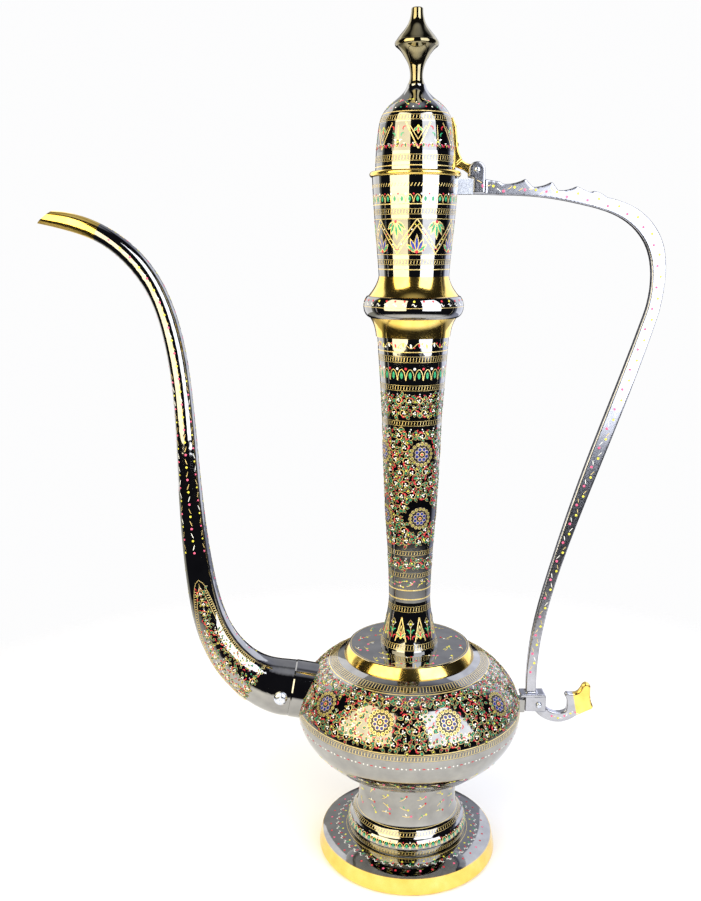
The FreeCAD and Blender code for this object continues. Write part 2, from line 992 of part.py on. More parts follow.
def cup_radius_at_screw():
    return dims.cup_radius - 0.42


def spout_screw_place(y):
    """Square to the socket's axis at the spigot's middle, at a given Y, facing the front."""
    d = dims
    tilt = math.radians(d.socket_tilt.value)
    reach = d.spigot_length.value / 2
    x = d.socket_x.value - reach * math.cos(tilt)
    z = d.socket_z.value + reach * math.sin(tilt)
    return facing_front(x, y, z)


def make_spout_screw():
    """The screw through the spout's wall into the socket's spigot."""
    d = dims
    return pan_screw(
        "spout_screw",
        d.spout_screw_radius,
        d.spout_wall + d.spigot_wall + d.spigot_taper,
        d.spout_screw_head_radius,
        d.spout_screw_head_radius * 0.62,
        spout_screw_place(-(d.spout_root_radius - d.spout_screw_seat_depth)),
    )


def spout_screw_bore(label):
    """The hole for the spout screw, as a tool."""
    d = dims
    rod = doc.addObject("Part::Cylinder", label)
    rod.setExpression("Radius", text_of(d.spout_screw_radius + d.screw_clearance))
    rod.setExpression("Height", text_of(d.spout_root_radius + 5.0))
    rod.Placement = spout_screw_place(0)
    return rod


def spout_screw_seat():
    """The flat spot face under the screw's head, as a tool."""
    d = dims
    rod = doc.addObject("Part::Cylinder", "spout_screw_seat")
    rod.setExpression("Radius", text_of(d.spout_screw_head_radius + d.screw_clearance))
    rod.Height = 10.0
    rod.Placement = spout_screw_place(-(d.spout_root_radius - d.spout_screw_seat_depth))
    return rod


def make_finial_nut():
    d = dims
    height = 3.0
    low = d.dome_crown_z - d.wall - FIT - height
    place = Placement(Vector(0, 0, value_of(low)), Rotation())
    return hex_nut("finial_nut", stud_radius() + SEAM, height, place)


# ---- spout ----------------------------------------------------------------------------------------------------

# The spout's centre line from its root to past its mouth, with its outer radius at each point.
SPOUT_STATIONS = (
    (-88.4, 130.0, 20.9),
    (-110.6, 136.0, 18.9),
    (-129.4, 150.5, 15.9),
    (-144.6, 175.0, 13.1),
    (-153.2, 209.0, 10.9),
    (-158.6, 260.0, 9.1),
    (-161.0, 310.0, 7.7),
    (-163.6, 360.0, 6.9),
    (-169.6, 400.0, 6.8),
    (-180.8, 431.0, 6.7),
    (-197.4, 452.6, 6.6),
    (-219.4, 467.6, 6.3),
    (-244.0, 474.9, 5.7),
    (-268.0, 478.6, 5.2),
)


def spout_line():
    """The centre line as a curve that leaves the socket along the socket's axis."""
    tilt = math.radians(dims.socket_tilt.value)
    curve = Part.BSplineCurve()
    points = [Vector(x, 0, z) for x, z, radius in SPOUT_STATIONS]
    start = Vector(-math.cos(tilt), 0, math.sin(tilt)) * 24.0
    end = (points[-1] - points[-2]).normalize() * 24.0
    curve.interpolate(points, InitialTangent=start, FinalTangent=end)
    return curve


def spout_form(label, inward):
    """A smooth solid through circles square to the centre line, inward less than the spout's own radius."""
    line = spout_line()
    sections = []
    for number, (x, z, radius) in enumerate(SPOUT_STATIONS):
        centre = Vector(x, 0, z)
        direction = line.tangent(line.parameter(centre))[0]
        section = doc.addObject("Part::Circle", "%s_section_%d" % (label, number))
        share = Size(radius, "(Dims.spout_root_radius * %.6f)" % (radius / dims.spout_root_radius.value))
        section.setExpression("Radius", (share - inward).text)
        section.Placement = Placement(centre, Rotation(Vector(0, 0, 1), direction))
        sections.append(section)
    loft = doc.addObject("Part::Loft", label)
    loft.Sections = sections
    loft.Solid = True
    return loft


def make_spout():
    d = dims
    tube = cut("spout_tube", spout_form("spout_outer", 0.0), spout_form("spout_bore", d.spout_wall))
    mouth = doc.addObject("Part::Box", "mouth_cut")
    mouth.Length = 60.0
    mouth.Width = 40.0
    mouth.Height = 40.0
    mouth.Placement = Placement(Vector(-267.2, -20.0, 464.5), Rotation(Vector(0, 1, 0), -39.4))
    trimmed = cut("spout_trimmed", tube, mouth)
    drilled = cut("spout_drilled", trimmed, spout_screw_bore("spout_screw_hole"))
    return cut("spout", drilled, spout_screw_seat())


def make_spout_socket():
    """The stub on the belly: a collar that the spout butts against and a spigot inside the spout."""
    d = dims
    spigot = d.spout_root_radius - d.spout_wall - 0.15
    bore = spigot - d.spigot_wall
    collar = d.spout_root_radius + 0.4
    outline = (
        Outline(d.socket_bore_radius, -30.0)
        .line((collar, -30.0), (collar, -1.2))
        .line((collar - 0.6, -FIT))
        .line((spigot, -FIT), (spigot - d.spigot_taper, d.spigot_length))
        .line((bore - d.spigot_taper, d.spigot_length), (bore, -3.0))
        .line((d.socket_bore_radius, -8.0))
        .close()
    )
    blank = turned("socket_blank", outline)
    direction = Rotation(Vector(0, 1, 0), -90 + d.socket_tilt.value)
    blank.Placement = Placement(Vector(d.socket_x.value, 0, d.socket_z.value), direction)
    fitted = cut("socket_fitted", blank, belly_form("belly_form_for_socket"))
    return cut("spout_socket", fitted, spout_screw_bore("spigot_screw_hole"))


def belly_form(label):
    """The belly's outside as one solid, to fit what is brazed on it."""
    d = dims
    lower = belly_lower_curve()
    upper = belly_upper_curve()
    outline = (
        Outline(*lower[0])
        .curve(*lower[1:])
        .curve(*upper[1:])
        .line((0, d.shoulder_z), (0, d.belly_base_z))
        .close()
    )
    return turned(label, outline)


# ---- handle and its lugs --------------------------------------------------------------------------------------


def handle_outline():
    """The handle's side view: arm with scalloped back, bow and the stem down to the foot plate."""
    d = dims
    stem_low = d.plate_top_z - 0.5
    outline = Outline(d.handle_end_x, d.arm_bottom_z)
    outline.line((60.0, 491.0))
    outline.curve((90.0, 489.2), (116.0, 484.4), (142.6, 475.0), (158.6, 458.6), (164.2, 436.0), (161.0, 411.0))
    outline.curve((150.0, 376.5), (125.4, 302.8), (102.6, 223.3), (91.8, 174.0), (89.0, stem_low))
    outline.line((96.7, stem_low))
    outline.curve((99.6, 176.2), (110.2, 223.3), (136.0, 302.8), (160.4, 376.5), (170.8, 412.3))
    outline.curve((173.4, 434.0), (169.0, 462.5), (158.0, 477.2), (145.5, 485.0))
    outline.arc((138.0, 487.8), (130.4, 489.6))
    outline.arc((126.0, 492.4), (121.4, 493.9))
    for notch, crest in SCALLOPS:
        outline.arc(hollow(outline.corners[-1], notch), notch)
        outline.line(crest)
    outline.arc(hollow(SCALLOPS[-1][1], (59.2, 498.4)), (59.2, 498.4))
    outline.line((57.6, 499.9))
    outline.arc((53.0, 500.6), (47.6, d.arm_top_z))
    outline.line((d.handle_end_x, d.arm_top_z))
    return outline.close()


# Notches and the crests beside them along the arm's back, from the bow towards the hinge.
SCALLOPS = (
    ((118.2, 493.0), (109.6, 496.9)),
    ((96.8, 494.2), (92.6, 499.9)),
    ((79.6, 496.4), (74.6, 501.8)),
)


def hollow(start, end):
    """The middle of an arc that sags a little below the chord between two points."""
    x0, z0 = value_of(start[0]), value_of(start[1])
    x1, z1 = end
    return (x0 + x1) / 2, (z0 + z1) / 2 - 0.07 * abs(x1 - x0)


def tail_outline():
    """The tail that curls out from under the fork and ends in a leaf."""
    return (
        Outline(96.0, 113.0)
        .line((96.0, 112.0))
        .curve((98.2, 109.3), (106.2, 104.0), (114.4, 102.4), (121.0, 103.7), (128.0, 107.7))
        .line((139.3, 113.0))
        .arc((140.4, 114.2), (140.2, 115.8))
        .curve((138.2, 122.0), (137.8, 126.6), (137.8, 131.6))
        .arc((135.0, 133.8), (131.6, 131.8))
        .curve((130.2, 128.8), (128.0, 126.4), (124.0, 125.8), (119.6, 126.2))
        .line((118.5, 123.8))
        .curve((120.4, 120.6), (120.8, 117.0), (120.2, 112.0))
        .curve((115.4, 110.3), (109.6, 111.0), (104.3, 114.6))
        .close()
    )


def make_handle():
    d = dims
    body = new_body("handle")
    pad(body, "bow", handle_outline(), d.handle_thickness)
    plate_low = d.plate_top_z - d.plate_thickness
    plate = rectangle(d.fork_x - 3.7, plate_low, d.low_screw_x + 4.3, d.plate_top_z)
    pad(body, "plate", plate, d.plate_width)
    fork = rectangle(d.fork_x, d.low_screw_z - 5.6, d.low_screw_x + 5.6, plate_low + 0.2)
    pad(body, "fork", fork, d.fork_width)
    pad(body, "tail", tail_outline(), d.handle_thickness - 1.0)
    ears = (
        Outline(d.handle_end_x, d.arm_bottom_z + 0.8)
        .line((d.hinge_x + d.ear_radius, d.arm_bottom_z + 0.8), (d.hinge_x + d.ear_radius, d.hinge_z))
        .arc((d.hinge_x, d.hinge_z + d.ear_radius), (d.hinge_x - d.ear_radius, d.hinge_z))
        .line((d.hinge_x - d.ear_radius, d.arm_top_z + 1.2), (d.handle_end_x, d.arm_top_z + 1.2))
        .close()
    )
    pad(body, "ears", ears, d.ear_gap + d.ear_thickness * 2)
    gap = rectangle(d.hinge_x - 10.0, d.arm_top_z, d.hinge_x + 10.0, d.hinge_z + 10.0)
    pocket(body, "ear_slot", gap.draw, d.ear_gap)
    tongue_slot = rectangle(d.fork_x - 6.0, d.low_screw_z - 8.0, d.low_screw_x + 5.0, plate_low)
    pocket(body, "fork_slot", tongue_slot.draw, d.fork_gap)
    hinge_hole = d.hinge_pin_radius + SEAM
    pocket(body, "hinge_hole", lambda sketch: circle(sketch, d.hinge_x, d.hinge_z, hinge_hole), 20.0)
    low_hole = d.small_screw_radius + SEAM
    pocket(body, "low_hole", lambda sketch: circle(sketch, d.low_screw_x, d.low_screw_z, low_hole), 20.0)
    top_hole = d.small_screw_radius + SEAM
    pocket(
        body,
        "top_screw_hole",
        lambda sketch: circle(sketch, 0, top_screw_z(), top_hole),
        d.handle_end_x + 6.6,
        plane_role="YZ_Plane",
        one_side=True,
        reverse=True,
    )
    return body


def make_cup_lug():
    """The lug brazed on the cup, between its wall and the end of the handle."""
    d = dims
    blank = new_body("cup_lug_blank")
    block = rectangle(24.0, d.arm_bottom_z, d.handle_end_x - FIT, d.arm_top_z)
    pad(blank, "cup_lug_block", block, d.ear_gap + d.ear_thickness * 2)
    pocket(
        blank,
        "cup_lug_hole",
        lambda sketch: circle(sketch, 0, top_screw_z(), d.small_screw_radius + d.screw_clearance),
        d.handle_end_x + 2.0,
        plane_role="YZ_Plane",
        one_side=True,
        reverse=True,
    )
    outer = cup_curve()
    outline = Outline(*outer[0]).curve(*outer[1:]).line((0, d.cup_rim_z), (0, outer[0][1])).close()
    return cut("cup_lug", blank, turned("cup_form", outline))


def make_body_lug():
    """The lug brazed on the belly, with the tongue that goes into the handle's fork."""
    d = dims
    blank = new_body("body_lug_blank")
    root = rectangle(74.0, d.low_screw_z - 6.0, d.fork_x - 0.3, d.low_screw_z + 4.0)
    pad(blank, "lug_root", root, d.fork_width)
    reach = (
        Outline(80.0, d.low_screw_z - 4.4)
        .line((d.low_screw_x, d.low_screw_z - 4.4))
        .arc((d.low_screw_x + 4.4, d.low_screw_z), (d.low_screw_x, d.low_screw_z + 4.4))
        .line((80.0, d.low_screw_z + 4.4))
        .close()
    )
    pad(blank, "lug_tongue", reach, d.tongue_thickness)
    bore = d.small_screw_radius + d.screw_clearance
    pocket(blank, "lug_hole", lambda sketch: circle(sketch, d.low_screw_x, d.low_screw_z, bore), 20.0)
    return cut("body_lug", blank, belly_form("belly_form_for_lug"))


# ---- assembly and export --------------------------------------------------------------------------------------

NODES = (
    "foot_base",
    "pedestal",
    "foot_boss",
    "foot_nut",
    "body_boss",
    "body_lower",
    "body_upper",
    "shoulder_disc",
    "neck_sleeve",
    "neck_bell",
    "neck_tube",
    "neck_collar",
    "collar_sleeve",
    "mouth_cup",
    "spout_socket",
    "spout",
    "spout_screw",
    "cup_lug",
    "handle",
    "handle_top_screw",
    "hinge_screw",
    "hinge_nut",
    "body_lug",
    "handle_low_screw",
    "handle_low_nut",
    "lid_dome",
    "lid_rim",
    "finial",
    "finial_nut",
    "lid_strap",
    "strap_rivets",
)


def build():
    for make in (
        make_foot_base,
        make_pedestal,
        make_foot_boss,
        make_foot_nut,
        make_body_boss,
        make_body_lower,
        make_body_upper,
        make_shoulder_disc,
        make_neck_sleeve,
        make_neck_bell,
        make_neck_tube,
        make_neck_collar,
        make_collar_sleeve,
        make_mouth_cup,
        make_spout_socket,
        make_spout,
        make_spout_screw,
        make_cup_lug,
        make_handle,
        make_handle_top_screw,
        make_hinge_hardware,
        make_body_lug,
        make_low_hardware,
        make_lid_dome,
        make_lid_rim,
        make_finial,
        make_finial_nut,
        make_lid_strap,
        make_strap_rivets,
    ):
        make()
    doc.recompute()


def check():
    """Stop if any object of the document failed or any sub-part isn't a sound solid."""
    for item in doc.Objects:
        if "Invalid" in item.State or "Error" in item.State:
            raise RuntimeError("%s failed: %s" % (item.Name, item.State))
    for label in NODES:
        shape = doc.getObjectsByLabel(label)[0].Shape
        if shape.isNull() or not shape.isValid() or not shape.Solids:
            raise RuntimeError(label + " is not a valid solid")


def export():
    os.makedirs("parts", exist_ok=True)
    for label in NODES:
        shape = doc.getObjectsByLabel(label)[0].Shape
        shape.exportStep("parts/%s.step" % label)
        box = shape.BoundBox
        print(
            "%-18s %2d solid  %9.0f mm3  x %7.1f..%7.1f  y %6.1f..%6.1f  z %6.1f..%6.1f"
            % (label, len(shape.Solids), shape.Volume, box.XMin, box.XMax, box.YMin, box.YMax, box.ZMin, box.ZMax)
        )


build()
check()
export()
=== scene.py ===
import random
from math import atan2, ceil, cos, hypot, pi, radians, sin, sqrt

import bpy
import numpy as np
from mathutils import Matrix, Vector


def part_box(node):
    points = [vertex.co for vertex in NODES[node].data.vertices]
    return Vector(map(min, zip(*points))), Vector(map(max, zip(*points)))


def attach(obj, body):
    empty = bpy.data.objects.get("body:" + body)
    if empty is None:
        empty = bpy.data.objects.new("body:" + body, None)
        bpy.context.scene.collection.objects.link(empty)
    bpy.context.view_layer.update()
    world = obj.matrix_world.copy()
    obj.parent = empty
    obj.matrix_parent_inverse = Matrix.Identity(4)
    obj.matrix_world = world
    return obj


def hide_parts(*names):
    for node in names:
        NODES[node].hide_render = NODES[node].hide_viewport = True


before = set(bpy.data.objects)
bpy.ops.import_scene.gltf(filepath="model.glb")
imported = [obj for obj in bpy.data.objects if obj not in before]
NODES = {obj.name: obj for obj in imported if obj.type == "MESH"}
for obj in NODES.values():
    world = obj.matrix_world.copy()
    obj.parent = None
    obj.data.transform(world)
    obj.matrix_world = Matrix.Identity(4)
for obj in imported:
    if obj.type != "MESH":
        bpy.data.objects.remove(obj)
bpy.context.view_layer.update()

# A tall brass ewer under dark lacquer, its ornament cut through to the brass and filled with enamel.
# Everything is in metres. Patterns are laid out in millimetres on the surface they cover: u runs round it, v
# up it. A place on a pattern is given by at = (anchor angle, v), and u and v from there.

MM = 0.001
TURN = 2 * pi


# ---- materials ----


class Nodes:
    """A node tree and the few kinds of node that this script builds with."""

    def __init__(self, tree):
        self.tree = tree

    def add(self, kind):
        return self.tree.nodes.new("ShaderNode" + kind)

    def feed(self, socket, value):
        """Set a socket to a number or colour, or link an output into it."""
        if isinstance(value, tuple):
            socket.default_value = (*value, 1.0)
        elif isinstance(value, float):
            socket.default_value = value
        else:
            self.tree.links.new(value, socket)

    def ramp(self, value, stops):
        node = self.add("ValToRGB")
        marks = node.color_ramp.elements
        while len(marks) < len(stops):
            marks.new(0.5)
        for mark, (position, colour) in zip(marks, stops):
            mark.position = position
            mark.color = (*colour, 1.0)
        self.feed(node.inputs["Fac"], value)
        return node.outputs["Color"]

    def spread(self, value, low, high, start=0.3, end=0.7):
        """The value stretched from start..end to low..high."""
        node = self.add("MapRange")
        limits = (("From Min", start), ("From Max", end), ("To Min", low), ("To Max", high))
        for name, number in (("Value", value), *limits):
            self.feed(node.inputs[name], number)
        return node.outputs["Result"]

    def maths(self, operation, *values):
        node = self.add("Math")
        node.operation = operation
        for socket, value in zip(node.inputs, values):
            self.feed(socket, value)
        return node.outputs["Value"]

    def mix(self, share, first, second, kind="RGBA"):
        node = self.add("Mix")
        node.data_type = kind
        sockets = [s for s in node.inputs if s.enabled]
        for socket, value in zip(sockets, (share, first, second)):
            self.feed(socket, value)
        return next(s for s in node.outputs if s.enabled)


class Shader(Nodes):
    """A node material built round one Principled shader."""

    def __init__(self, name, metallic=1.0):
        self.material = bpy.data.materials.new(name)
        self.material.use_nodes = True
        super().__init__(self.material.node_tree)
        self.surface = self.tree.nodes["Principled BSDF"]
        self.set("Metallic", metallic)
        self.place = self.add("TexCoord").outputs["Object"]

    def set(self, name, value):
        self.feed(self.surface.inputs[name], value)

    def noise(self, scale, detail=4.0):
        node = self.add("TexNoise")
        for name, value in (("Scale", scale), ("Detail", detail), ("Vector", self.place)):
            self.feed(node.inputs[name], value)
        return node.outputs["Fac"]

    def bump(self, value, strength, depth):
        node = self.add("Bump")
        for name, number in (("Strength", strength), ("Distance", depth), ("Height", value)):
            self.feed(node.inputs[name], number)
        self.set("Normal", node.outputs["Normal"])

    def beyond(self, direction, limit):
        """1 on the far side of a plane square to direction, 0 on the near side."""
        node = self.add("VectorMath")
        node.operation = "DOT_PRODUCT"
        node.inputs[1].default_value = direction
        self.feed(node.inputs[0], self.place)
        return self.spread(node.outputs["Value"], 0.0, 1.0, limit - ZONE_EDGE, limit + ZONE_EDGE)


ZONE_EDGE = 0.0002
LACQUER = ((0.3, (0.28, 0.28, 0.28)), (0.7, (0.37, 0.37, 0.36)))
# The handle's lacquer, painted a paler, bluer grey than the pot's: a painted reflection of pale surroundings.
PAINTED_SHEEN = ((0.3, (0.36, 0.37, 0.41)), (0.7, (0.50, 0.51, 0.57)))
OLIVE = ((0.3, (0.22, 0.19, 0.11)), (0.7, (0.33, 0.29, 0.17)))
GROUND = ((0.3, (0.18, 0.18, 0.18)), (0.7, (0.24, 0.24, 0.235)))
BRASS = ((0.25, (0.86, 0.56, 0.11)), (0.55, (0.96, 0.68, 0.17)), (0.8, (0.99, 0.76, 0.27)))
ZINC = ((0.3, (0.55, 0.60, 0.72)), (0.7, (0.78, 0.82, 0.90)))


# How fine a metal's noises are: its drift of colour, uneven polish, wear, scratches and slow waves.
DRIFT, UNEVEN, WEAR, SCRATCH, WAVE = 90.0, 630.0, 810.0, 2160.0, 45.0


def metal(name, stops, roughness, bump=0.008, zones=()):
    """A polished metal with drifting colour, uneven polish and fine scratches; zones are bare brass."""
    shader = Shader(name)
    tone = shader.noise(DRIFT)
    colour = shader.ramp(tone, stops)
    polish = shader.spread(shader.noise(UNEVEN), roughness, roughness * 1.5)
    waves = shader.maths("MULTIPLY", shader.noise(WAVE, 2.0), 22.0)
    relief = shader.maths("ADD", shader.noise(SCRATCH, 6.0), waves)
    share = None
    for make_zone in zones:
        zone = make_zone(shader)
        share = zone if share is None else shader.maths("MAXIMUM", share, zone)
    if share is not None:
        colour = shader.mix(share, colour, shader.ramp(tone, BRASS))
        worn = shader.spread(shader.noise(WEAR), 0.12, 0.15)
        polish = shader.mix(share, polish, worn, "FLOAT")
    shader.set("Base Color", colour)
    shader.set("Roughness", polish)
    shader.bump(relief, bump, 0.0002)
    return shader.material


def grained(shader, stops, roughness, scales, bump):
    """Colour, polish and relief, each from a noise of its own scale."""
    tone, polish, relief = (shader.noise(scale) for scale in scales)
    shader.set("Base Color", shader.ramp(tone, stops))
    shader.set("Roughness", shader.spread(polish, *roughness))
    shader.bump(relief, bump, 0.0001)
    return shader.material


def enamel(name, dark, light):
    """Glassy colour flooded into an engraved cell, thicker and darker in places."""
    stops = ((0.35, dark), (0.65, light))
    return grained(Shader(name, 0.0), stops, (0.2, 0.38), (700.0, 1500.0, 2600.0), 0.08)


def line_brass(name):
    """The brass that an engraver's cut lays bare: bright, but scored, so it catches light from all round."""
    stops = ((0.3, (0.80, 0.58, 0.17)), (0.7, (1.0, 0.84, 0.42)))
    return grained(Shader(name, 0.72), stops, (0.28, 0.48), (500.0, 1800.0, 4200.0), 0.12)


ENAMELS = {
    "red": ((0.36, 0.01, 0.02), (0.60, 0.03, 0.05)),
    "pink": ((0.62, 0.06, 0.16), (0.82, 0.16, 0.30)),
    "green": ((0.01, 0.20, 0.08), (0.04, 0.40, 0.19)),
    "lime": ((0.50, 0.47, 0.03), (0.76, 0.72, 0.10)),
    "blue": ((0.012, 0.02, 0.20), (0.04, 0.07, 0.40)),
    "white": ((0.66, 0.68, 0.66), (0.88, 0.88, 0.84)),
    "black": ((0.006, 0.006, 0.009), (0.016, 0.016, 0.022)),
}
INLAY_MATERIALS = {"gold": line_brass("inlay_brass")}
INLAY_MATERIALS.update((tint, enamel("enamel_" + tint, *shades)) for tint, shades in ENAMELS.items())
INLAY_MATERIALS["ground"] = metal("engraved_ground", GROUND, 0.05)
TINTS = list(INLAY_MATERIALS)


# ---- surfaces that carry ornament ----


def mesh_arrays(node):
    mesh = NODES[node].data
    points = np.empty(len(mesh.vertices) * 3)
    mesh.vertices.foreach_get("co", points)
    edges = np.empty(len(mesh.edges) * 2, dtype=np.int64)
    mesh.edges.foreach_get("vertices", edges)
    return points.reshape(-1, 3), edges.reshape(-1, 2)


def outermost(along, across, edges, levels):
    """The largest across where the edges pass each level of along."""
    a0, a1 = along[edges[:, 0]], along[edges[:, 1]]
    c0, c1 = across[edges[:, 0]], across[edges[:, 1]]
    found = []
    for level in levels:
        hit = (np.minimum(a0, a1) <= level) & (np.maximum(a0, a1) >= level)
        run = np.where(a1[hit] == a0[hit], 1.0, a1[hit] - a0[hit])
        share = np.clip((level - a0[hit]) / run, 0.0, 1.0)
        found.append((c0[hit] + (c1[hit] - c0[hit]) * share).max())
    return np.array(found)


PROFILE_STEP = 0.4


class Turned:
    """The outer face of a turned part; v is the distance along its profile, in millimetres."""

    def __init__(self, node, low, high, face="side"):
        points, edges = mesh_arrays(node)
        radius = np.hypot(points[:, 0], points[:, 1])
        count = max(8, int(abs(high - low) / PROFILE_STEP))
        levels = np.linspace(low, high, count) * MM
        if face == "side":
            self.z = levels
            self.r = outermost(points[:, 2], radius, edges, levels)
        else:
            self.r = levels
            self.z = outermost(radius, points[:, 2], edges, levels)
        steps = np.hypot(np.diff(self.r), np.diff(self.z))
        self.v = np.concatenate([[0.0], np.cumsum(steps)]) / MM
        self.slope_r = np.gradient(self.r, self.v * MM)
        self.slope_z = np.gradient(self.z, self.v * MM)
        self.length = self.v[-1]

    def radius(self, v):
        return float(np.interp(v, self.v, self.r)) / MM

    def at_height(self, z):
        """v at a height, in millimetres, on a face that climbs all the way."""
        return float(np.interp(z * MM, self.z, self.v))

    def place(self, rows):
        """Rows of anchor angle, u, v and lift as points in space."""
        anchor, u, v, lift = rows.T
        r = np.interp(v, self.v, self.r)
        angle = anchor + u * MM / r
        out = np.interp(v, self.v, self.slope_z)
        up = -np.interp(v, self.v, self.slope_r)
        size = np.hypot(out, up)
        r = r + lift * MM * out / size
        z = np.interp(v, self.v, self.z) + lift * MM * up / size
        return np.stack([r * np.cos(angle), r * np.sin(angle), z], axis=1)


def cut_by_plane(points, edges, centre, direction, reach):
    """Where the edges near centre cross the plane through it square to direction."""
    side = (points - centre) @ direction
    a, b = edges[:, 0], edges[:, 1]
    hit = (side[a] > 0) != (side[b] > 0)
    a, b = a[hit], b[hit]
    share = (side[a] / (side[a] - side[b]))[:, None]
    crossed = points[a] + (points[b] - points[a]) * share
    return crossed[np.linalg.norm(crossed - centre, axis=1) < reach]


class Bar:
    """The middle line of a part that bends in the XZ plane, found by slicing it step by step."""

    def __init__(self, node, start, direction, length, reach, step=3.0):
        points, edges = mesh_arrays(node)
        centre = np.array(start) * MM
        heading = np.array(direction, dtype=float)
        centres, widths, depths = [], [], []
        for _ in range(int(length / step) + 1):
            ring = cut_by_plane(points, edges, centre, heading, reach * MM)
            if len(ring) < 3:
                break
            normal = np.array([-heading[2], 0.0, heading[0]])
            across = (ring - centre) @ normal
            centre = centre + normal * (across.max() + across.min()) / 2
            centre[1] = 0.0
            centres.append(centre)
            widths.append((across.max() - across.min()) / 2)
            depths.append(np.abs(ring[:, 1]).max())
            if len(centres) > 2:
                heading = centres[-1] - centres[-3]
                heading = heading / np.linalg.norm(heading)
            centre = centre + heading * step * MM
        self.line = np.array(centres)
        steps = np.linalg.norm(np.diff(self.line, axis=0), axis=1)
        self.v = np.concatenate([[0.0], np.cumsum(steps)]) / MM
        self.length = self.v[-1]
        self.heading = np.gradient(self.line, self.v, axis=0)
        self.heading /= np.linalg.norm(self.heading, axis=1)[:, None]
        self.half_width = np.array(widths)
        self.half_depth = np.array(depths)

    def on_line(self, v):
        centre = np.stack([np.interp(v, self.v, self.line[:, i]) for i in range(3)], axis=1)
        heading = np.stack([np.interp(v, self.v, self.heading[:, i]) for i in range(3)], axis=1)
        normal = np.stack([-heading[:, 2], heading[:, 1] * 0.0, heading[:, 0]], axis=1)
        return centre, normal

    def radius(self, v):
        return float(np.interp(v, self.v, self.half_width)) / MM


class Tube(Bar):
    """A round bar: the anchor angle is 0 at the front, which faces -Y, and half a turn at the back."""

    def place(self, rows):
        anchor, u, v, lift = rows.T
        centre, normal = self.on_line(v)
        radius = np.interp(v, self.v, self.half_width)
        angle = (anchor + u * MM / radius)[:, None]
        front = np.array([0.0, -1.0, 0.0])
        out = front * np.cos(angle) - normal * np.sin(angle)
        return centre + out * (radius + lift * MM)[:, None]


class Flat(Bar):
    """A bar with flat sides: the anchor angle is 0 on its front and half a turn on its back."""

    def place(self, rows):
        anchor, u, v, lift = rows.T
        centre, normal = self.on_line(v)
        side = np.where(np.cos(anchor) > 0, -1.0, 1.0)
        placed = centre + normal * (u * MM * side)[:, None]
        placed[:, 1] = side * (np.interp(v, self.v, self.half_depth) + lift * MM)
        return placed


# ---- inlay ----


def add_object(name, data):
    item = bpy.data.objects.new(name, data)
    bpy.context.scene.collection.objects.link(item)
    return item


# Millimetres: how far one layer stands above the next, the dark ground's lift, and how deep edges are sunk.
LEVEL = 0.06
GROUND_LIFT = 0.02
SUNK = -0.12
# Line widths, and the longest steps along a line and up a ground that still follow a curved surface.
HAIR = 0.2
THIN = 0.32
FINE = 0.5
LONGEST = 1.6
GROUND_STEP = 1.5
# Segments round a ring for each millimetre of its radius.
ROUND = 4


def short_steps(path):
    """The path again with no step longer than a curved surface allows."""
    points = [path[0]]
    for (u0, v0), (u1, v1) in zip(path, path[1:]):
        count = max(1, ceil(hypot(u1 - u0, v1 - v0) / LONGEST))
        points.extend((u0 + (u1 - u0) * i / count, v0 + (v1 - v0) * i / count) for i in range(1, count + 1))
    return points


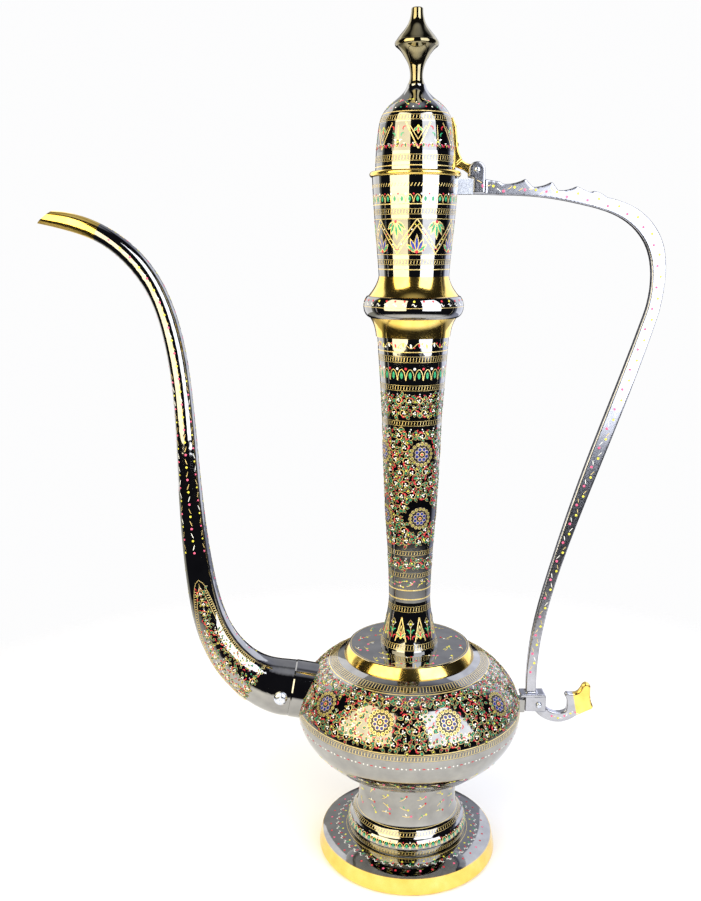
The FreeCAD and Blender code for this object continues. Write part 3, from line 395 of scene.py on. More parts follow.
class Inlay:
    """Thin shapes a little proud of a surface, gathered into one mesh with a material for each tint."""

    def __init__(self, surface):
        self.surface = surface
        self.rows = []
        self.faces = []
        self.tints = []

    def patch(self, at, outline, tint, level=1):
        """A filled outline, in steps short enough to follow the surface."""
        angle, v0 = at
        area = sum(a[0] * b[1] - b[0] * a[1] for a, b in zip(outline, outline[1:] + outline[:1]))
        if area < 0:
            outline = outline[::-1]
        count = len(outline)
        top = level * LEVEL
        middle_u = sum(u for u, v in outline) / count
        middle_v = sum(v for u, v in outline) / count
        reach = max(hypot(u - middle_u, v - middle_v) for u, v in outline)
        steps = max(1, ceil(reach / LONGEST))
        centre = len(self.rows)
        self.rows.append((angle, middle_u, v0 + middle_v, top + LEVEL * 0.5))
        for step in range(1, steps + 1):
            share = step / steps
            for u, v in outline:
                across = middle_u + (u - middle_u) * share
                up = middle_v + (v - middle_v) * share
                self.rows.append((angle, across, v0 + up, top))
        self.rows.extend((angle, u, v0 + v, SUNK) for u, v in outline)
        for i in range(count):
            j = (i + 1) % count
            self.faces.append((centre, centre + 1 + i, centre + 1 + j))
            for step in range(steps):
                inner = centre + 1 + step * count
                self.faces.append((inner + i, inner + count + i, inner + count + j, inner + j))
        self.tints.extend([TINTS.index(tint)] * (count * (steps + 1)))

    def section(self, angle, u, v, side, level):
        """The four corners of a ribbon's cross-section, whose half width is the vector side."""
        for sign, lift in ((1, level * LEVEL), (-1, level * LEVEL), (1, SUNK), (-1, SUNK)):
            self.rows.append((angle, u + sign * side[0], v + sign * side[1], lift))

    def ribbon(self, a, b, tint):
        """The top and two sides between the cross-sections that start at rows a and b."""
        self.faces.extend(((a + 1, b + 1, b, a), (a, b, b + 2, a + 2), (a + 3, b + 3, b + 1, a + 1)))
        self.tints.extend([TINTS.index(tint)] * 3)

    def stroke(self, at, path, width, tint="gold", level=1, taper=False):
        """A ribbon along a path; a tapered one is widest near its middle."""
        angle, v0 = at
        path = short_steps(path)
        last = len(path) - 1
        first = len(self.rows)
        for i, (u, v) in enumerate(path):
            before, after = path[max(i - 1, 0)], path[min(i + 1, last)]
            du, dv = after[0] - before[0], after[1] - before[1]
            run = hypot(du, dv) or 1.0
            half = width / 2
            if taper:
                half *= 0.3 + 0.7 * sin(pi * (0.12 + 0.76 * i / last))
            self.section(angle, u, v0 + v, (-dv / run * half, du / run * half), level)
        for i in range(last):
            self.ribbon(first + 4 * i, first + 4 * i + 4, tint)

    def ring(self, v, width=THIN):
        """A band all the way round at v."""
        count = max(48, int(self.surface.radius(v) * ROUND))
        first = len(self.rows)
        for i in range(count):
            self.section(TURN * i / count, 0.0, v, (0.0, width / 2), 1)
        for i in range(count):
            self.ribbon(first + 4 * i, first + 4 * ((i + 1) % count), "gold")

    def ground(self, low, high):
        """The dark floor of an engraved band, in rings close enough to follow the surface."""
        rings = max(2, ceil((high - low) / GROUND_STEP) + 1)
        count = max(96, int(self.surface.radius((low + high) / 2) * ROUND))
        first = len(self.rows)
        for number in range(rings):
            v = low + (high - low) * number / (rings - 1)
            self.rows.extend((TURN * i / count, 0.0, v, GROUND_LIFT) for i in range(count))
        for number in range(rings - 1):
            row = first + number * count
            for i in range(count):
                j = (i + 1) % count
                self.faces.append((row + i, row + j, row + count + j, row + count + i))
        self.tints.extend([TINTS.index("ground")] * (count * (rings - 1)))

    def make(self, name, body="root"):
        points = self.surface.place(np.array(self.rows))
        mesh = bpy.data.meshes.new(name)
        mesh.from_pydata(points.tolist(), [], self.faces)
        for tint in TINTS:
            mesh.materials.append(INLAY_MATERIALS[tint])
        mesh.polygons.foreach_set("material_index", self.tints)
        mesh.update()
        piece = add_object(name, mesh)
        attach(piece, body)


# ---- motifs ----


def polar(u, v, reach, turn):
    return u + reach * cos(turn), v + reach * sin(turn)


def circle_path(u, v, radius, corners):
    return [polar(u, v, radius, TURN / corners * i) for i in range(corners)]


def dot(inlay, at, u, v, radius, tint, level=1, corners=8):
    inlay.patch(at, circle_path(u, v, radius, corners), tint, level)


def leaf_outline(u, v, length, width, heading, bend=0.0):
    """A pointed leaf from (u, v) along heading, in radians, bowed sideways by bend."""
    stations = (0.0, 0.25, 0.55, 0.8, 1.0)
    swell = (0.12, 0.42, 0.5, 0.3, 0.0)
    along = (cos(heading), sin(heading))
    across = (-along[1], along[0])
    left, right = [], []
    for share, half in zip(stations, swell):
        bow = bend * length * share * share
        for edge, sign in ((left, 1), (right, -1)):
            aside = bow + sign * half * width
            edge.append((u + along[0] * share * length + across[0] * aside,
                         v + along[1] * share * length + across[1] * aside))
    return right[:-1] + [right[-1]] + left[-2::-1]


def leaf(inlay, at, u, v, length, width, heading, tint, bend=0.0, rim=True):
    """A leaf of enamel in a brass edge."""
    if rim:
        inlay.patch(at, leaf_outline(u, v, length, width, heading, bend), "gold")
    inset = 0.16 if rim else 0.0
    du, dv = cos(heading) * length * inset, sin(heading) * length * inset
    length, width = length * (1 - 1.9 * inset), width * (1 - 2.6 * inset)
    inlay.patch(at, leaf_outline(u + du, v + dv, length, width, heading, bend), tint, 2 if rim else 1)


def bud(inlay, at, u, v, length, heading, tint, bend=0.0):
    """A dark drop in a fine brass edge, with a spot of colour at its heart."""
    inlay.patch(at, leaf_outline(u, v, length, length * 0.66, heading, bend), "gold")
    core = polar(u, v, length * 0.07, heading)
    inlay.patch(at, leaf_outline(*core, length * 0.84, length * 0.52, heading, bend), "black", 3)
    dot(inlay, at, *polar(u, v, length * 0.42, heading), length * 0.16, tint, 5, 7)


def crescent(inlay, at, u, v, size, heading, tint):
    """A short fat comma of colour."""
    path = []
    for i in range(5):
        turn = heading + (i / 4 - 0.5) * 2.4
        path.append((u + size * (cos(turn) - 0.7 * cos(heading)),
                     v + size * (sin(turn) - 0.7 * sin(heading))))
    inlay.stroke(at, path, size * 0.55, tint, 2, taper=True)


def spiral(u, v, radius, start, turns):
    """Points from the rim of a scroll in towards its eye."""
    count = 13
    path = []
    for i in range(count):
        share = i / (count - 1)
        path.append(polar(u, v, radius * (1 - 0.78 * share), start + turns * TURN * share))
    return path


def white_cluster(inlay, at, u, v, radius, reach, start, count=3):
    for i in range(count):
        dot(inlay, at, *polar(u, v, reach, start + TURN * i / count), radius, "white", 3)


def scroll(inlay, at, u, v, size, start, hand, tints, rng):
    """A curled stem with buds and a red comma along its outside, white dots at its eye and filled corners."""
    path = spiral(u, v, size * 0.40, start, hand)
    inlay.stroke(at, path, FINE * 0.85)
    for number, step in enumerate((0, 2, 4, 6, 8, 10)):
        pu, pv = path[step]
        outward = atan2(pv - v, pu - u) + hand * 0.8
        if number == 1:
            crescent(inlay, at, pu, pv, size * 0.19, outward, "red")
            continue
        tint = tints[(number + rng.randrange(3)) % len(tints)]
        bud(inlay, at, pu, pv, size * (0.47 - 0.03 * number), outward, tint, -hand * 0.2)
    white_cluster(inlay, at, *path[-1], size * 0.06, size * 0.1, start)
    corner = size * 0.5
    heading = start * 1.7
    bud(inlay, at, u + corner, v + corner, size * 0.38, heading, "green")
    bud(inlay, at, u + corner, v - corner * 0.1, size * 0.34, heading + 2.0, "green")
    crescent(inlay, at, u - corner, v + corner * 0.9, size * 0.15, heading, "red")
    white_cluster(inlay, at, u, v + corner, size * 0.05, size * 0.09, heading, 2)


def rosette(inlay, at, radius):
    """A round flower: dark ground, outlined petals, a red heart and a rim of small yellow scallops."""
    scallop = ((0.145, "gold", 6, 8), (0.095, "black", 7, 8), (0.045, "lime", 8, 6))
    petal = ((0.175, "gold", 5, 9), (0.14, "blue", 6, 9), (0.06, "black", 7, 9))
    dot(inlay, at, 0.0, 0.0, radius * 0.98, "black", 4, 24)
    for i in range(16):
        place = polar(0.0, 0.0, radius * 0.84, TURN * i / 16)
        for size, tint, level, corners in scallop:
            dot(inlay, at, *place, radius * size, tint, level, corners)
    for i in range(8):
        place = polar(0.0, 0.0, radius * 0.43, TURN * (i + 0.5) / 8)
        for size, tint, level, corners in petal:
            dot(inlay, at, *place, radius * size, tint, level, corners)
    dot(inlay, at, 0.0, 0.0, radius * 0.15, "gold", 8, 10)
    dot(inlay, at, 0.0, 0.0, radius * 0.09, "red", 10)


def sprig(inlay, at, size, heading, tint, rng):
    """A loose stroke with a bud and a dash beside it."""
    bend = rng.choice((-1, 1)) * 0.35
    path = []
    for i in range(5):
        share = i / 4 - 0.5
        du, dv = size * share, size * bend * (0.25 - share * share)
        path.append((du * cos(heading) - dv * sin(heading),
                     du * sin(heading) + dv * cos(heading)))
    inlay.stroke(at, path, FINE, "gold", taper=True)
    dot(inlay, at, *path[-1], size * 0.13, tint, 2)
    side = heading + pi / 2
    dash = leaf_outline(0.0, 0.0, size * 0.34, size * 0.13, side - bend, 0.2)
    inlay.patch(at, dash, rng.choice(("lime", "green", "white")))


# ---- bands ----


TICK_LEAN = 0.2
TICK_WIDTH = 0.42
TICK_GAP = 0.55
GROUND_MARGIN = 0.5


def cells(surface, v, pitch):
    """Anchor angles and cell width for a band at v, in cells about a pitch wide."""
    count = max(6, round(TURN * surface.radius(v) / pitch))
    width = TURN * surface.radius(v) / count
    return [TURN * (k + 0.5) / count for k in range(count)], width


def tick_band(inlay, low, high, pitch=2.1):
    """Two fine lines with upright strokes between them, on a dark ground."""
    inlay.ground(low - GROUND_MARGIN, high + GROUND_MARGIN)
    inlay.ring(low, HAIR)
    inlay.ring(high, HAIR)
    middle = (low + high) / 2
    half = (high - low) / 2 - TICK_GAP
    for angle in cells(inlay.surface, middle, pitch)[0]:
        inlay.stroke((angle, middle), [(-TICK_LEAN, -half), (TICK_LEAN, half)], TICK_WIDTH)


def dot_row(inlay, v, pitch, tints, radius):
    for k, angle in enumerate(cells(inlay.surface, v, pitch)[0]):
        dot(inlay, (angle, v), 0, 0, radius, tints[k % len(tints)])


def vine(inlay, low, high, pitch, tints):
    """A waving stem with a leaf in each bay and a bud at each crest."""
    middle = (low + high) / 2
    height = (high - low) / 2
    angles, width = cells(inlay.surface, middle, pitch)
    for k, angle in enumerate(angles):
        at = (angle, middle)
        sign = 1 if k % 2 else -1
        path = [(width * (i / 6 - 0.5), sign * height * 0.55 * sin(pi * i / 6)) for i in range(7)]
        inlay.stroke(at, path, FINE)
        tint = tints[k % len(tints)]
        heading = -sign * pi / 2
        leaf(inlay, at, 0, sign * height * 0.5, height * 0.9, height * 0.42, heading, tint, 0.15, False)
        dot(inlay, at, width * 0.42, sign * height * 0.45, height * 0.17, tints[(k + 1) % len(tints)])


def arches(inlay, low, high, pitch):
    """A row of round arches, each with a green bud under it and a red or white dot on its springing."""
    height = high - low
    angles, width = cells(inlay.surface, (low + high) / 2, pitch)
    for k, angle in enumerate(angles):
        at = (angle, low)
        turns = [pi * i / 8 for i in range(9)]
        path = [(-width * 0.46 * cos(turn), height * 0.82 * sin(turn)) for turn in turns]
        inlay.stroke(at, path, FINE)
        leaf(inlay, at, 0, height * 0.1, height * 0.55, width * 0.36, pi / 2, "green", 0, False)
        dot(inlay, at, width * 0.5, height * 0.86, height * 0.1, "white" if k % 2 else "red")


def scroll_field(inlay, low, high, size, rng, keep_out=None):
    """Rows of scrolls that turn left and right by turns, all the way round, on a dark ground."""
    tints = ("green", "green", "lime", "green", "red")
    inlay.ground(low - 0.4, high + 0.4)
    rows = max(1, round((high - low) / size))
    pitch = (high - low) / rows
    for row in range(rows):
        v = low + pitch * (row + 0.5)
        angles, width = cells(inlay.surface, v, size)
        for k, angle in enumerate(angles):
            if row % 2:
                angle += width / 2 / inlay.surface.radius(v)
            if keep_out and keep_out(angle, v):
                continue
            hand = 1 if (k + row) % 2 else -1
            start = rng.uniform(0, TURN)
            scroll(inlay, (angle, v), 0, 0, min(pitch, width) * 1.04, start, hand, tints, rng)


def ring_of_buds(inlay, at, radius, count):
    """Red commas and dark buds by turns round a rosette."""
    for i in range(count):
        turn = TURN * i / count
        u, v = polar(0.0, 0.0, radius, turn)
        if i % 2:
            crescent(inlay, at, u, v, 1.5, turn, "red")
        else:
            bud(inlay, at, u, v, 3.2, turn, "green")


def spray(inlay, at, size, hand):
    """A fan of three leaves on one stalk."""
    for turn, tint in ((-0.7, "green"), (0.0, "red"), (0.7, "green")):
        leaf(inlay, at, 0, 0, size, size * 0.36, hand * pi / 2 + turn, tint, 0.1 * turn)
    dot(inlay, at, 0, 0, size * 0.16, "lime", 2)


def peaks(inlay, low, high, count, point_up=True):
    """Bold triangles in double lines with a spray inside each, and a cluster of buds between them."""
    height = high - low
    width = TURN * inlay.surface.radius((low + high) / 2) / count
    up = 1 if point_up else -1
    foot = low if point_up else high
    for k in range(count):
        angle = TURN * (k + 0.5) / count
        at = (angle, foot)
        for share, thick in ((1.0, 0.8), (0.66, FINE)):
            rise = up * height * share
            half = width * 0.30 * share
            start = up * height * (1 - share) * 0.4
            for side in (-1, 1):
                path = [(side * half, start), (side * half / 2, (start + rise) / 2), (0, rise)]
                inlay.stroke(at, path, thick)
        spray(inlay, (angle, foot + up * height * 0.16), height * 0.3, up)
        between = angle + pi / count
        for side in (-1, 1):
            for step, tint in ((0.2, "red"), (0.45, "green"), (0.7, "white")):
                u = side * width * 0.16 * (1.1 - step)
                heading = pi / 2 + side * 0.9
                crescent(inlay, (between, foot), u, up * height * step, height * 0.09, heading, tint)
        inlay.stroke((between, foot), [(0, up * height * 0.1), (0, up * height * 0.85)], FINE, taper=True)
        bud(inlay, (between, foot), 0, up * height * 0.62, height * 0.3, up * pi / 2, "lime")


def zigzag(inlay, low, high, count):
    """A broad zigzag of two lines with fanned petals in its bays and dots along its bars."""
    height = high - low
    width = TURN * inlay.surface.radius((low + high) / 2) / count
    bar = height * 0.17
    for edge in (low, high):
        inlay.ring(edge)
    for k in range(count):
        at = (TURN * (k + 0.5) / count, low)
        for side in (-1, 1):
            for shift in (0.0, bar):
                steps = [i / 4 for i in range(5)]
                path = [(side * width * (0.5 - 0.5 * s), shift + (height - bar) * s) for s in steps]
                inlay.stroke(at, path, 0.75)
            for i in range(6):
                share = (i + 0.5) / 6
                u, v = side * width * (0.5 - 0.5 * share), bar / 2 + (height - bar) * share
                dot(inlay, at, u, v, 0.45, ("red", "white", "lime")[i % 3])
        for u, up, foot in ((0.0, 1, height * 0.05), (width / 2, -1, height * 0.95)):
            flower = "blue" if up > 0 else "green"
            for turn in (-0.95, -0.5, 0.0, 0.5, 0.95):
                heading = up * pi / 2 + turn
                reach = height * (0.5 - 0.16 * abs(turn))
                tint = "green" if abs(turn) > 0.9 else flower
                base = polar(u, foot, 0.8, heading)
                leaf(inlay, at, *base, reach, height * 0.13, heading, tint, -0.12 * turn)
            for side in (-1, 1):
                base = (u + side * width * 0.13, foot + up * height * 0.12)
                crescent(inlay, at, *base, height * 0.08, side * 0.8, "red")
            dot(inlay, at, u, foot + up * height * 0.03, height * 0.045, "red", 3)


def sprigs(inlay, low, high, size, rng, tints=("pink", "lime"), spread=1.5):
    """Sprigs scattered in loose rows."""
    rows = max(1, round((high - low) / (size * 0.9)))
    for row in range(rows):
        v = low + (high - low) * (row + 0.5) / rows
        for k, angle in enumerate(cells(inlay.surface, v, size * spread)[0]):
            aside = rng.uniform(-0.3, 0.3) * size / inlay.surface.radius(v)
            at = (angle + aside, v + rng.uniform(-0.2, 0.2) * size)
            sprig(inlay, at, size, rng.uniform(-0.8, 0.8), tints[(k + row) % len(tints)], rng)


def garland(inlay, v, pitch):
    """A close row of red commas, dark buds and white dots, such as fills the foot of a figured band."""
    for k, angle in enumerate(cells(inlay.surface, v, pitch)[0]):
        at = (angle, v)
        crescent(inlay, at, -pitch * 0.28, 0.4, pitch * 0.2, pi * 0.75, "red")
        bud(inlay, at, pitch * 0.1, -pitch * 0.12, pitch * 0.46, pi / 2, "green" if k % 2 else "lime")
        crescent(inlay, at, pitch * 0.36, 0.6, pitch * 0.16, pi * 0.2, "pink")
        white_cluster(inlay, at, -pitch * 0.05, pitch * 0.28, 0.28, 0.5, 0.6)


def s_strokes(inlay, v, size, pitch):
    for angle in cells(inlay.surface, v, pitch)[0]:
        path = [(size * (i / 6 - 0.5), size * 0.3 * sin(TURN * i / 6)) for i in range(7)]
        inlay.stroke((angle, v), path, FINE, "white", taper=True)


# ---- ornament on each part ----


def bottom(node):
    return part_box(node)[0][2] / MM


def top(node):
    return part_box(node)[1][2] / MM


def dressed(node, margin=0.3):
    """An inlay for a turned part's side, and v at a height above the part's bottom."""
    base = bottom(node)
    surface = Turned(node, base + margin, top(node) - margin)
    return Inlay(surface), lambda height: surface.at_height(base + height)


def dress_dome(rng):
    """The lid's dome, from its ring up."""
    inlay, v = dressed("lid_dome")
    inlay.ring(v(2.5), 0.6)
    tick_band(inlay, v(5.4), v(9.2))
    inlay.ground(v(11.8), v(30.0))
    peaks(inlay, v(12.8), v(29.4), 6, point_up=False)
    garland(inlay, v(14.4), 6.0)
    tick_band(inlay, v(31.2), v(34.3))
    inlay.ring(v(36.6), 0.6)
    dot_row(inlay, v(39.4), 4.2, ("red", "white", "green"), 0.5)
    sprigs(inlay, v(41.2), v(45.4), 4.4, rng, spread=1.9)
    inlay.make("inlay_dome", "lid")


def dress_cup(rng):
    inlay, v = dressed("mouth_cup")
    inlay.ring(v(4.8), 0.6)
    tick_band(inlay, v(8.0), v(11.3))
    inlay.ground(v(14.2), v(38.2))
    zigzag(inlay, v(14.6), v(37.8), 6)
    tick_band(inlay, v(40.8), v(44.2))
    inlay.ring(v(47.3), 0.6)
    arches(inlay, v(48.3), v(54.6), 5.2)
    for angle in cells(inlay.surface, v(59.6), 2.3)[0]:
        inlay.stroke((angle, v(59.6)), [(-0.6, -1.1), (0.6, 1.1)], FINE)
    inlay.make("inlay_cup")


def dress_collar(rng):
    """Red dots and white strokes round the dark band between two bare ones."""
    inlay, v = dressed("neck_collar")
    row = v(25.6)
    dot_row(inlay, row, 6.5, ("lime", "red", "red", "red"), 0.8)
    s_strokes(inlay, row - 2.6, 3.0, 6.5)
    inlay.ring(row - 4.6)
    inlay.make("inlay_collar")


def dress_neck(rng):
    inlay, v = dressed("neck_tube")
    inlay.ring(v(2.8), 0.9)
    inlay.ring(v(9.8), 0.9)
    sprigs(inlay, v(11.5), v(18.0), 4.5, rng)
    tick_band(inlay, v(19.6), v(22.8))
    scroll_field(inlay, v(24.4), v(33.8), 8.6, rng)
    tick_band(inlay, v(36.6), v(39.8))
    turned = 0.30
    rosettes = ((v(64.8), 8.4), (v(111.8), 9.0))
    panel_high = v(128.8)

    def in_rosette(angle, height):
        for centre, radius in rosettes:
            away = (angle - turned + pi / 4) % (pi / 2) - pi / 4
            around = inlay.surface.radius(centre) * away
            if hypot(around, height - centre) < radius + 2.0:
                return True
        return False

    scroll_field(inlay, v(43.0), panel_high, 8.8, rng, keep_out=in_rosette)
    for centre, radius in rosettes:
        for k in range(4):
            rosette(inlay, (pi / 2 * k + turned, centre), radius)
    tick_band(inlay, v(132.2), v(135.5))
    scroll_field(inlay, v(137.6), v(153.8), 7.6, rng)
    tick_band(inlay, v(157.0), v(160.5))
    arches(inlay, v(164.2), v(173.4), 6.2)
    tick_band(inlay, v(176.5), v(180.5))
    inlay.ring(v(183.6), 0.6)
    vine(inlay, v(184.8), v(191.2), 5.5, ("red", "lime", "white"))
    inlay.make("inlay_neck")


def dress_bell(rng):
    inlay, v = dressed("neck_bell")
    tick_band(inlay, v(2.6), v(6.6))
    peaks(inlay, v(8.6), v(26.2), 8)
    tick_band(inlay, v(30.2), v(34.2))
    inlay.make("inlay_bell")


def dress_disc(rng):
    """Loose sprigs on the disc's top, round the neck."""
    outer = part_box("shoulder_disc")[1][0] / MM
    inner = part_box("neck_bell")[1][0] / MM
    surface = Turned("shoulder_disc", outer - 4.4, inner + 0.8, "top")
    inlay = Inlay(surface)
    inlay.ring(0.6)
    sprigs(inlay, 2.5, surface.length - 3.0, 7.0, rng, ("pink", "lime", "red"), 2.9)
    inlay.make("inlay_disc")


def dress_shoulder(rng):
    """The belly above its widest circle: the richest band of the pot."""
    inlay, v = dressed("body_upper")
    tick_band(inlay, v(0.9), v(4.4), 2.3)
    inlay.ring(v(5.6), 0.6)
    low, high = v(6.6), v(36.6)
    middle = (low + high) / 2
    count = 10

    def in_medallion(angle, height):
        step = TURN / count
        around = inlay.surface.radius(height) * ((angle + step / 2) % step - step / 2)
        return hypot(around, height - middle) < 12.6

    scroll_field(inlay, low, high, 8.8, rng, keep_out=in_medallion)
    for k in range(count):
        angle = TURN * k / count
        rosette(inlay, (angle, middle), 9.4)
        ring_of_buds(inlay, (angle, middle), 10.6, 14)
    inlay.ring(v(37.8), 0.6)
    tick_band(inlay, v(38.6), v(41.0), 2.3)
    inlay.make("inlay_shoulder")


def dress_belly(rng):
    inlay, _ = dressed("body_lower")
    rim = inlay.surface.length
    for k, angle in enumerate(cells(inlay.surface, rim - 5.0, 3.0)[0]):
        at = (angle, rim - 5.0)
        if k % 3:
            dot(inlay, at, 0, 0, 0.55, "white")
        else:
            inlay.stroke(at, [(-1.1, -0.1), (0, 0.15), (1.1, -0.1)], 0.8, "red", taper=True)
    sprigs(inlay, rim - 30.0, rim - 22.0, 7.0, rng)
    inlay.make("inlay_belly")


def dress_pedestal(rng):
    inlay, v = dressed("pedestal")
    tick_band(inlay, v(1.2), v(4.4), 2.3)
    arches(inlay, v(7.0), v(11.6), 5.0)
    tick_band(inlay, v(14.0), v(16.4), 2.3)
    inlay.ring(v(18.8))
    sprigs(inlay, v(25.0), v(45.0), 6.6, rng, ("pink", "lime", "red"), 2.1)
    inlay.make("inlay_pedestal")


def dress_foot(rng):
    """The foot's sloping top, from its edge in to the pedestal."""
    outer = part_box("foot_base")[1][0] / MM
    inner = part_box("pedestal")[1][0] / MM
    surface = Turned("foot_base", outer - 2.6, inner + 0.6, "top")
    inlay = Inlay(surface)
    dot_row(inlay, 6.4, 9.0, ("red", "pink", "red"), 0.85)
    s_strokes(inlay, 11.6, 3.6, 6.4)
    for k, angle in enumerate(cells(surface, 11.6, 6.4)[0]):
        leaf(inlay, (angle, 11.6), 0.6, 0.4, 2.6, 0.9, 0.9, "red" if k % 3 else "green", 0.2, False)
    dot_row(inlay, 15.4, 8.0, ("lime",), 0.8)
    inlay.ring(surface.length - 0.6)
    inlay.make("inlay_foot")


def rows_on_bar(inlay, anchors, start, end, pitch, size, rng, tints=("pink", "lime"), aside=0.0):
    """Dots and short strokes along a bar, in one row for each anchor angle."""
    for row, anchor in enumerate(anchors):
        count = int((end - start) / pitch)
        for k in range(count):
            at = (anchor, start + (k + 0.5) * (end - start) / count)
            u = aside * (1 if (k + row) % 2 else -1)
            dot(inlay, at, u, 0, size, tints[(k + row) % len(tints)], 2)
            lean = rng.choice((-1, 1))
            ends = (u - lean * 0.7 * size, pitch * 0.24), (u + lean * 0.9 * size, pitch * 0.66)
            path = [ends[0], (u, pitch * 0.42), ends[1]]
            inlay.stroke(at, path, FINE, rng.choice(("gold", "white", "gold")), taper=True)


def dress_spout(rng):
    """Rows of dots down the spout, and a long scrolled tongue with a ticked edge over its root."""
    low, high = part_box("spout_screw")
    start = ((low[0] + high[0]) / 2 / MM - 18.0, 0.0, (low[2] + high[2]) / 2 / MM + 4.0)
    surface = Tube("spout", start, (-0.94, 0.0, 0.34), 560.0, 26.0)
    inlay = Inlay(surface)
    tongue = 96.0
    tip = surface.length - 46.0
    tints = ("green", "green", "lime", "red")
    quarter = pi / 2
    anchors = [quarter * 0.5 * k for k in range(8)]
    rows_on_bar(inlay, anchors[::2], tongue + 16.0, tip, 9.0, 0.85, rng)
    rows_on_bar(inlay, anchors[1::2], tongue + 16.0, tongue + 150.0, 9.0, 0.7, rng)
    for anchor in (0.0, pi):
        edge_path(inlay, anchor, 2.0, tongue, surface)
        for v in range(6, int(tongue) - 8, 8):
            half = tongue_half(v, tongue, surface) - 3.4
            columns = max(1, int(2 * half / 7.5))
            for column in range(columns):
                u = (column + 0.5 - columns / 2) * (2 * half / columns)
                hand = 1 if (column + v // 8) % 2 else -1
                scroll(inlay, (anchor, v), u, 0, 6.8, rng.uniform(0, 6.28), hand, tints, rng)
    for anchor in (quarter, -quarter):
        rows_on_bar(inlay, (anchor,), 4.0, tongue + 10.0, 8.0, 0.85, rng, aside=1.6)
    inlay.make("inlay_spout")


def tongue_half(v, tongue, surface):
    """Half the tongue's width at v: wide at the root and pointed at its far end."""
    return surface.radius(v) * 1.02 * sqrt(max(0.0, 1 - (v / tongue) ** 2.4))


def edge_path(inlay, anchor, start, tongue, surface):
    """The tongue's double line and the ticks between."""
    for inset in (0.0, 2.6):
        for sign in (-1, 1):
            path = []
            for i in range(41):
                v = start + (tongue - inset - start) * i / 40
                half = max(0.0, tongue_half(v, tongue - inset, surface) - inset)
                path.append((sign * half, v))
            inlay.stroke((anchor, 0.0), path, THIN)
    for i in range(46):
        v = start + 1.0 + (tongue - 8.0 - start) * i / 46
        half = tongue_half(v, tongue, surface)
        for sign in (-1, 1):
            inlay.stroke((anchor, v), [(sign * (half - 2.1), 0), (sign * (half - 0.5), 0)], FINE)


def dress_handle(rng):
    """Dots and strokes along both flat sides of the handle, from its lower lug round to the arm's end."""
    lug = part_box("body_lug")
    start = (lug[1][0] / MM - 10.0, 0.0, lug[1][2] / MM + 14.0)
    surface = Flat("handle", start, (0.0, 0.0, 1.0), 552.0, 12.0, step=2.5)
    inlay = Inlay(surface)
    rows_on_bar(inlay, (0.0, pi), 4.0, surface.length - 12.0, 7.4, 0.95, rng, aside=1.1)
    inlay.make("inlay_handle")


def dress_tail(rng):
    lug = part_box("body_lug")
    start = (lug[1][0] / MM + 3.4, 0.0, lug[0][2] / MM - 4.4)
    surface = Flat("handle", start, (0.9, 0.0, -0.3), 22.0, 6.0, step=1.5)
    inlay = Inlay(surface)
    rows_on_bar(inlay, (0.0, pi), 0.0, surface.length, 5.0, 0.8, rng, aside=0.5)
    inlay.make("inlay_tail")


# ---- the studio ----


CAMERA_PLACE = (-0.0438, -0.675, 0.457)
CAMERA_PITCH = 78.0
CAMERA_LENS = 38.36
FLOOR_RADIUS = 0.62
FLOOR_SHADES = ((0.3, (0.86, 0.86, 0.87)), (0.7, (0.9, 0.9, 0.9)))
FADE_FROM, FADE_TO = 0.36, 0.60
BLACK_CARD = (0.014, 0.014, 0.018)
PAPER_LEFT, PAPER_RIGHT = (0.56, 0.54, 0.45), (0.50, 0.53, 0.70)
SKY, BACKDROP = (0.72, 0.72, 0.74), (0.98, 0.98, 0.985)


def make_camera():
    """A camera a little above the pot's middle, looking down by a few degrees."""
    camera = bpy.data.cameras.new("camera")
    camera.lens = CAMERA_LENS
    camera.sensor_width = 36.0
    camera.clip_start = 0.01
    item = add_object("camera", camera)
    item.location = CAMERA_PLACE
    item.rotation_euler = (radians(CAMERA_PITCH), 0.0, 0.0)
    bpy.context.scene.camera = item


def make_floor():
    """A pale sheet under the pot that fades into the pale surroundings at its edge."""
    rim = circle_path(0.0, 0.0, FLOOR_RADIUS, 96)
    mesh = bpy.data.meshes.new("floor")
    mesh.from_pydata([(x, y, 0.0) for x, y in rim], [], [tuple(range(len(rim)))])
    shader = Shader("floor_paper", 0.0)
    shader.set("Base Color", shader.ramp(shader.noise(1.5), FLOOR_SHADES))
    shader.set("Roughness", 0.8)
    shader.set("Specular IOR Level", 0.0)
    distance = shader.add("VectorMath")
    distance.operation = "LENGTH"
    shader.feed(distance.inputs[0], shader.place)
    shader.set("Alpha", shader.spread(distance.outputs["Value"], 1.0, 0.0, FADE_FROM, FADE_TO))
    mesh.materials.append(shader.material)
    add_object("floor", mesh)


def window(name, azimuth, distance, width, low, high, radiance, colour):
    """An upright soft box, its azimuth from the front in degrees, and its brightness as seen in a mirror."""
    turn = radians(azimuth)
    light = bpy.data.lights.new(name, "AREA")
    light.shape = "RECTANGLE"
    light.size, light.size_y = width, high - low
    light.energy = radiance * pi * width * (high - low)
    light.color = colour
    item = add_object(name, light)
    item.location = (distance * sin(turn), -distance * cos(turn), (low + high) / 2)
    item.rotation_euler = Vector((-sin(turn), cos(turn), 0.0)).to_track_quat("-Z", "Y").to_euler()
    item.visible_camera = False


def make_lights():
    """Two window-like soft boxes in front, and two dimmer ones behind that draw the pot's edges."""
    window("window_left", -46.0, 0.78, 0.78, 0.20, 1.45, 4.2, (1.0, 0.87, 0.56))
    window("window_right", 39.0, 0.78, 0.64, 0.20, 1.45, 4.2, (0.93, 0.95, 1.0))
    window("window_back_left", -136.0, 1.0, 0.8, 0.05, 1.5, 1.1, (0.96, 0.95, 1.0))
    window("window_back_right", 136.0, 1.0, 0.8, 0.05, 1.5, 1.1, (0.90, 0.92, 1.0))


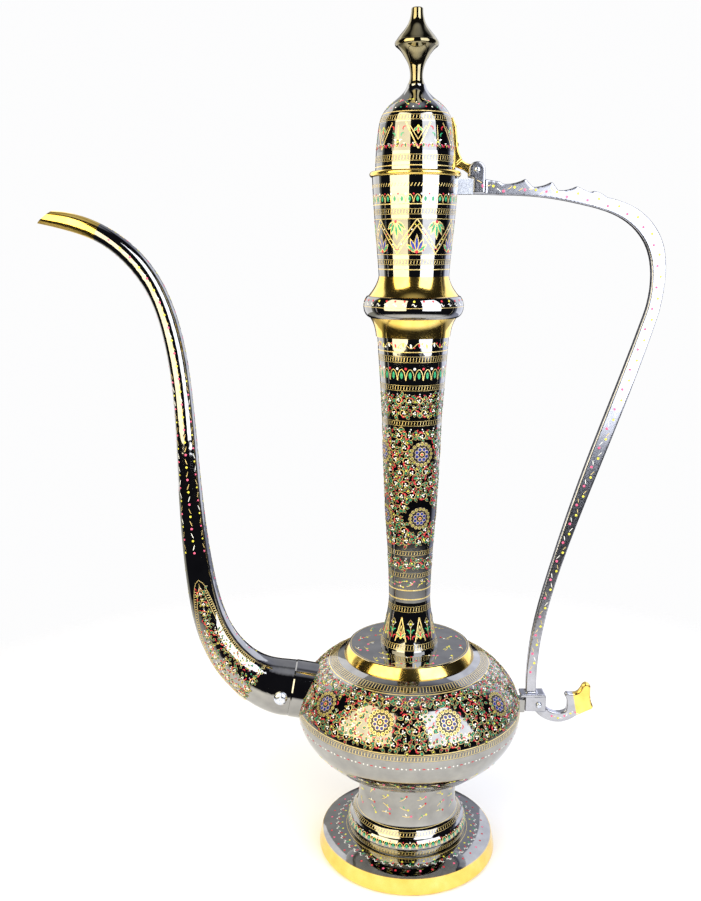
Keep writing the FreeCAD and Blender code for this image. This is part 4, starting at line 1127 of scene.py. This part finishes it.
def make_world():
    """What polished metal mirrors: black card in front, pale paper behind and straight overhead.

    Matt surfaces are lit by an even pale sky, and the camera sees a plain pale backdrop.
    """
    world = bpy.data.worlds.new("studio")
    bpy.context.scene.world = world
    world.use_nodes = True
    nodes = Nodes(world.node_tree)

    def step(value, start, end):
        return nodes.spread(value, 0.0, 1.0, start, end)

    direction = nodes.add("SeparateXYZ")
    nodes.feed(direction.inputs[0], nodes.add("TexCoord").outputs["Generated"])
    x, y, z = direction.outputs
    back = step(y, 0.25, 0.45)
    lobes = nodes.maths("MULTIPLY", back, step(nodes.maths("ABSOLUTE", x), 0.35, 0.5))
    wall = nodes.maths("MULTIPLY", back, step(z, 0.10, 0.24))
    overhead = step(z, 0.93, 0.99)
    pale = nodes.maths("MAXIMUM", nodes.maths("MAXIMUM", lobes, wall), overhead)
    paper = nodes.mix(step(x, -0.6, 0.6), PAPER_LEFT, PAPER_RIGHT)
    mirrored = nodes.mix(pale, BLACK_CARD, paper)
    rays = nodes.add("LightPath").outputs
    lit = nodes.mix(rays["Is Diffuse Ray"], mirrored, SKY)
    seen = nodes.mix(rays["Is Camera Ray"], lit, BACKDROP)
    nodes.feed(world.node_tree.nodes["Background"].inputs["Color"], seen)


# ---- cast parts ----


def cast(node, grain, passes, body="root"):
    """The part again as a casting, its edges rounded over by remeshing to grain, in mm, and smoothing."""
    source = NODES[node]
    piece = add_object(node + "_cast", source.data.copy())
    remesh = piece.modifiers.new("even", "REMESH")
    remesh.mode = "VOXEL"
    remesh.voxel_size = grain * MM
    remesh.use_smooth_shade = True
    smooth = piece.modifiers.new("rounded", "SMOOTH")
    smooth.factor = 0.5
    smooth.iterations = passes
    bpy.context.view_layer.update()
    made = bpy.data.meshes.new_from_object(piece.evaluated_get(bpy.context.evaluated_depsgraph_get()))
    piece.modifiers.clear()
    piece.data = made
    made.materials.clear()
    made.materials.append(source.material_slots[0].material)
    for polygon in made.polygons:
        polygon.use_smooth = True
    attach(piece, body)
    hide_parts(node)


# ---- putting it together ----


def paint(node, material):
    """Give a CAD node's object its material in every slot."""
    for slot in NODES[node].material_slots:
        slot.link = "OBJECT"
        slot.material = material


def above(height):
    return lambda shader: shader.beyond((0.0, 0.0, 1.0), height * MM)


def below(height):
    return lambda shader: shader.beyond((0.0, 0.0, -1.0), -height * MM)


def past(x, z, lean):
    """Bare beyond the slanted plane through (x, z) that is square to lean."""
    length = hypot(*lean)
    direction = (lean[0] / length, 0.0, lean[1] / length)
    limit = (x * direction[0] + z * direction[2]) * MM
    return lambda shader: shader.beyond(direction, limit)


COAT_ROUGHNESS = 0.035
COLLAR_BAND = (13.2, 27.8)
FOOT_SKIRT = 3.25
DISC_RIM = 0.25


def coated(name, *zones):
    return metal(name, LACQUER, COAT_ROUGHNESS, zones=zones)


def paint_nodes():
    """The record's finish for every CAD node, apart from those that have a pattern or colour of their own."""
    lacquer = coated("lacquer")
    brass = metal("polished_brass", BRASS, 0.13)
    raw = metal("turned_brass", BRASS, 0.25, bump=0.08)
    zinc = metal("zinc", ZINC, 0.2, bump=0.05)
    collar = bottom("neck_collar")
    band_low, band_high = (collar + height for height in COLLAR_BAND)
    own = {
        "foot_base": coated("lacquer_foot", below(bottom("pedestal") - FOOT_SKIRT)),
        "shoulder_disc": coated("lacquer_disc", below(top("shoulder_disc") - DISC_RIM)),
        "neck_collar": coated("lacquer_collar", below(band_low), above(band_high)),
        "spout": coated("lacquer_spout", past(-217.5, 466.0, (-1.0, 0.45))),
        "handle": handle_material(),
        "finial": metal("lacquer_finial", OLIVE, 0.06),
        "cup_lug": metal("lug_metal", ZINC, 0.3, bump=0.05),
    }
    slots = {"lacquered_brass": lacquer, "polished_brass": brass, "plain_brass": raw, "zinc_steel": zinc}
    for node, entry in slot_names().items():
        paint(node, own.get(node, slots[entry]))


def handle_material():
    """Lacquer all over the handle but the leaf at the end of its tail, painted paler and bluer than the pot's
    lacquer as a painted reflection.
    """
    low = bottom("handle")
    outside = past(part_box("handle")[1][0] / MM - 47.0, low + 14.0, (1.0, 0.2))
    underside = below(low + 36.0)

    def zone(shader):
        return shader.maths("MULTIPLY", outside(shader), underside(shader))

    return metal("lacquer_handle", PAINTED_SHEEN, 0.17, zones=(zone,))


def slot_names():
    """Each CAD node's material slot, which the frame gives as its material's name."""
    named = {}
    for node, item in NODES.items():
        material = item.material_slots[0].material if item.material_slots else None
        named[node] = material.name if material else "lacquered_brass"
    return named


def main():
    rng = random.Random(11)
    paint_nodes()
    cast("handle", 0.55, 9)
    cast("lid_strap", 0.35, 12, "lid")
    for dress in (
        dress_dome, dress_cup, dress_collar, dress_neck, dress_bell, dress_disc, dress_shoulder,
        dress_belly, dress_pedestal, dress_foot, dress_spout, dress_handle, dress_tail,
    ):
        dress(rng)
    make_camera()
    make_floor()
    make_lights()
    make_world()
    bpy.context.scene.view_settings.view_transform = "Standard"


main()
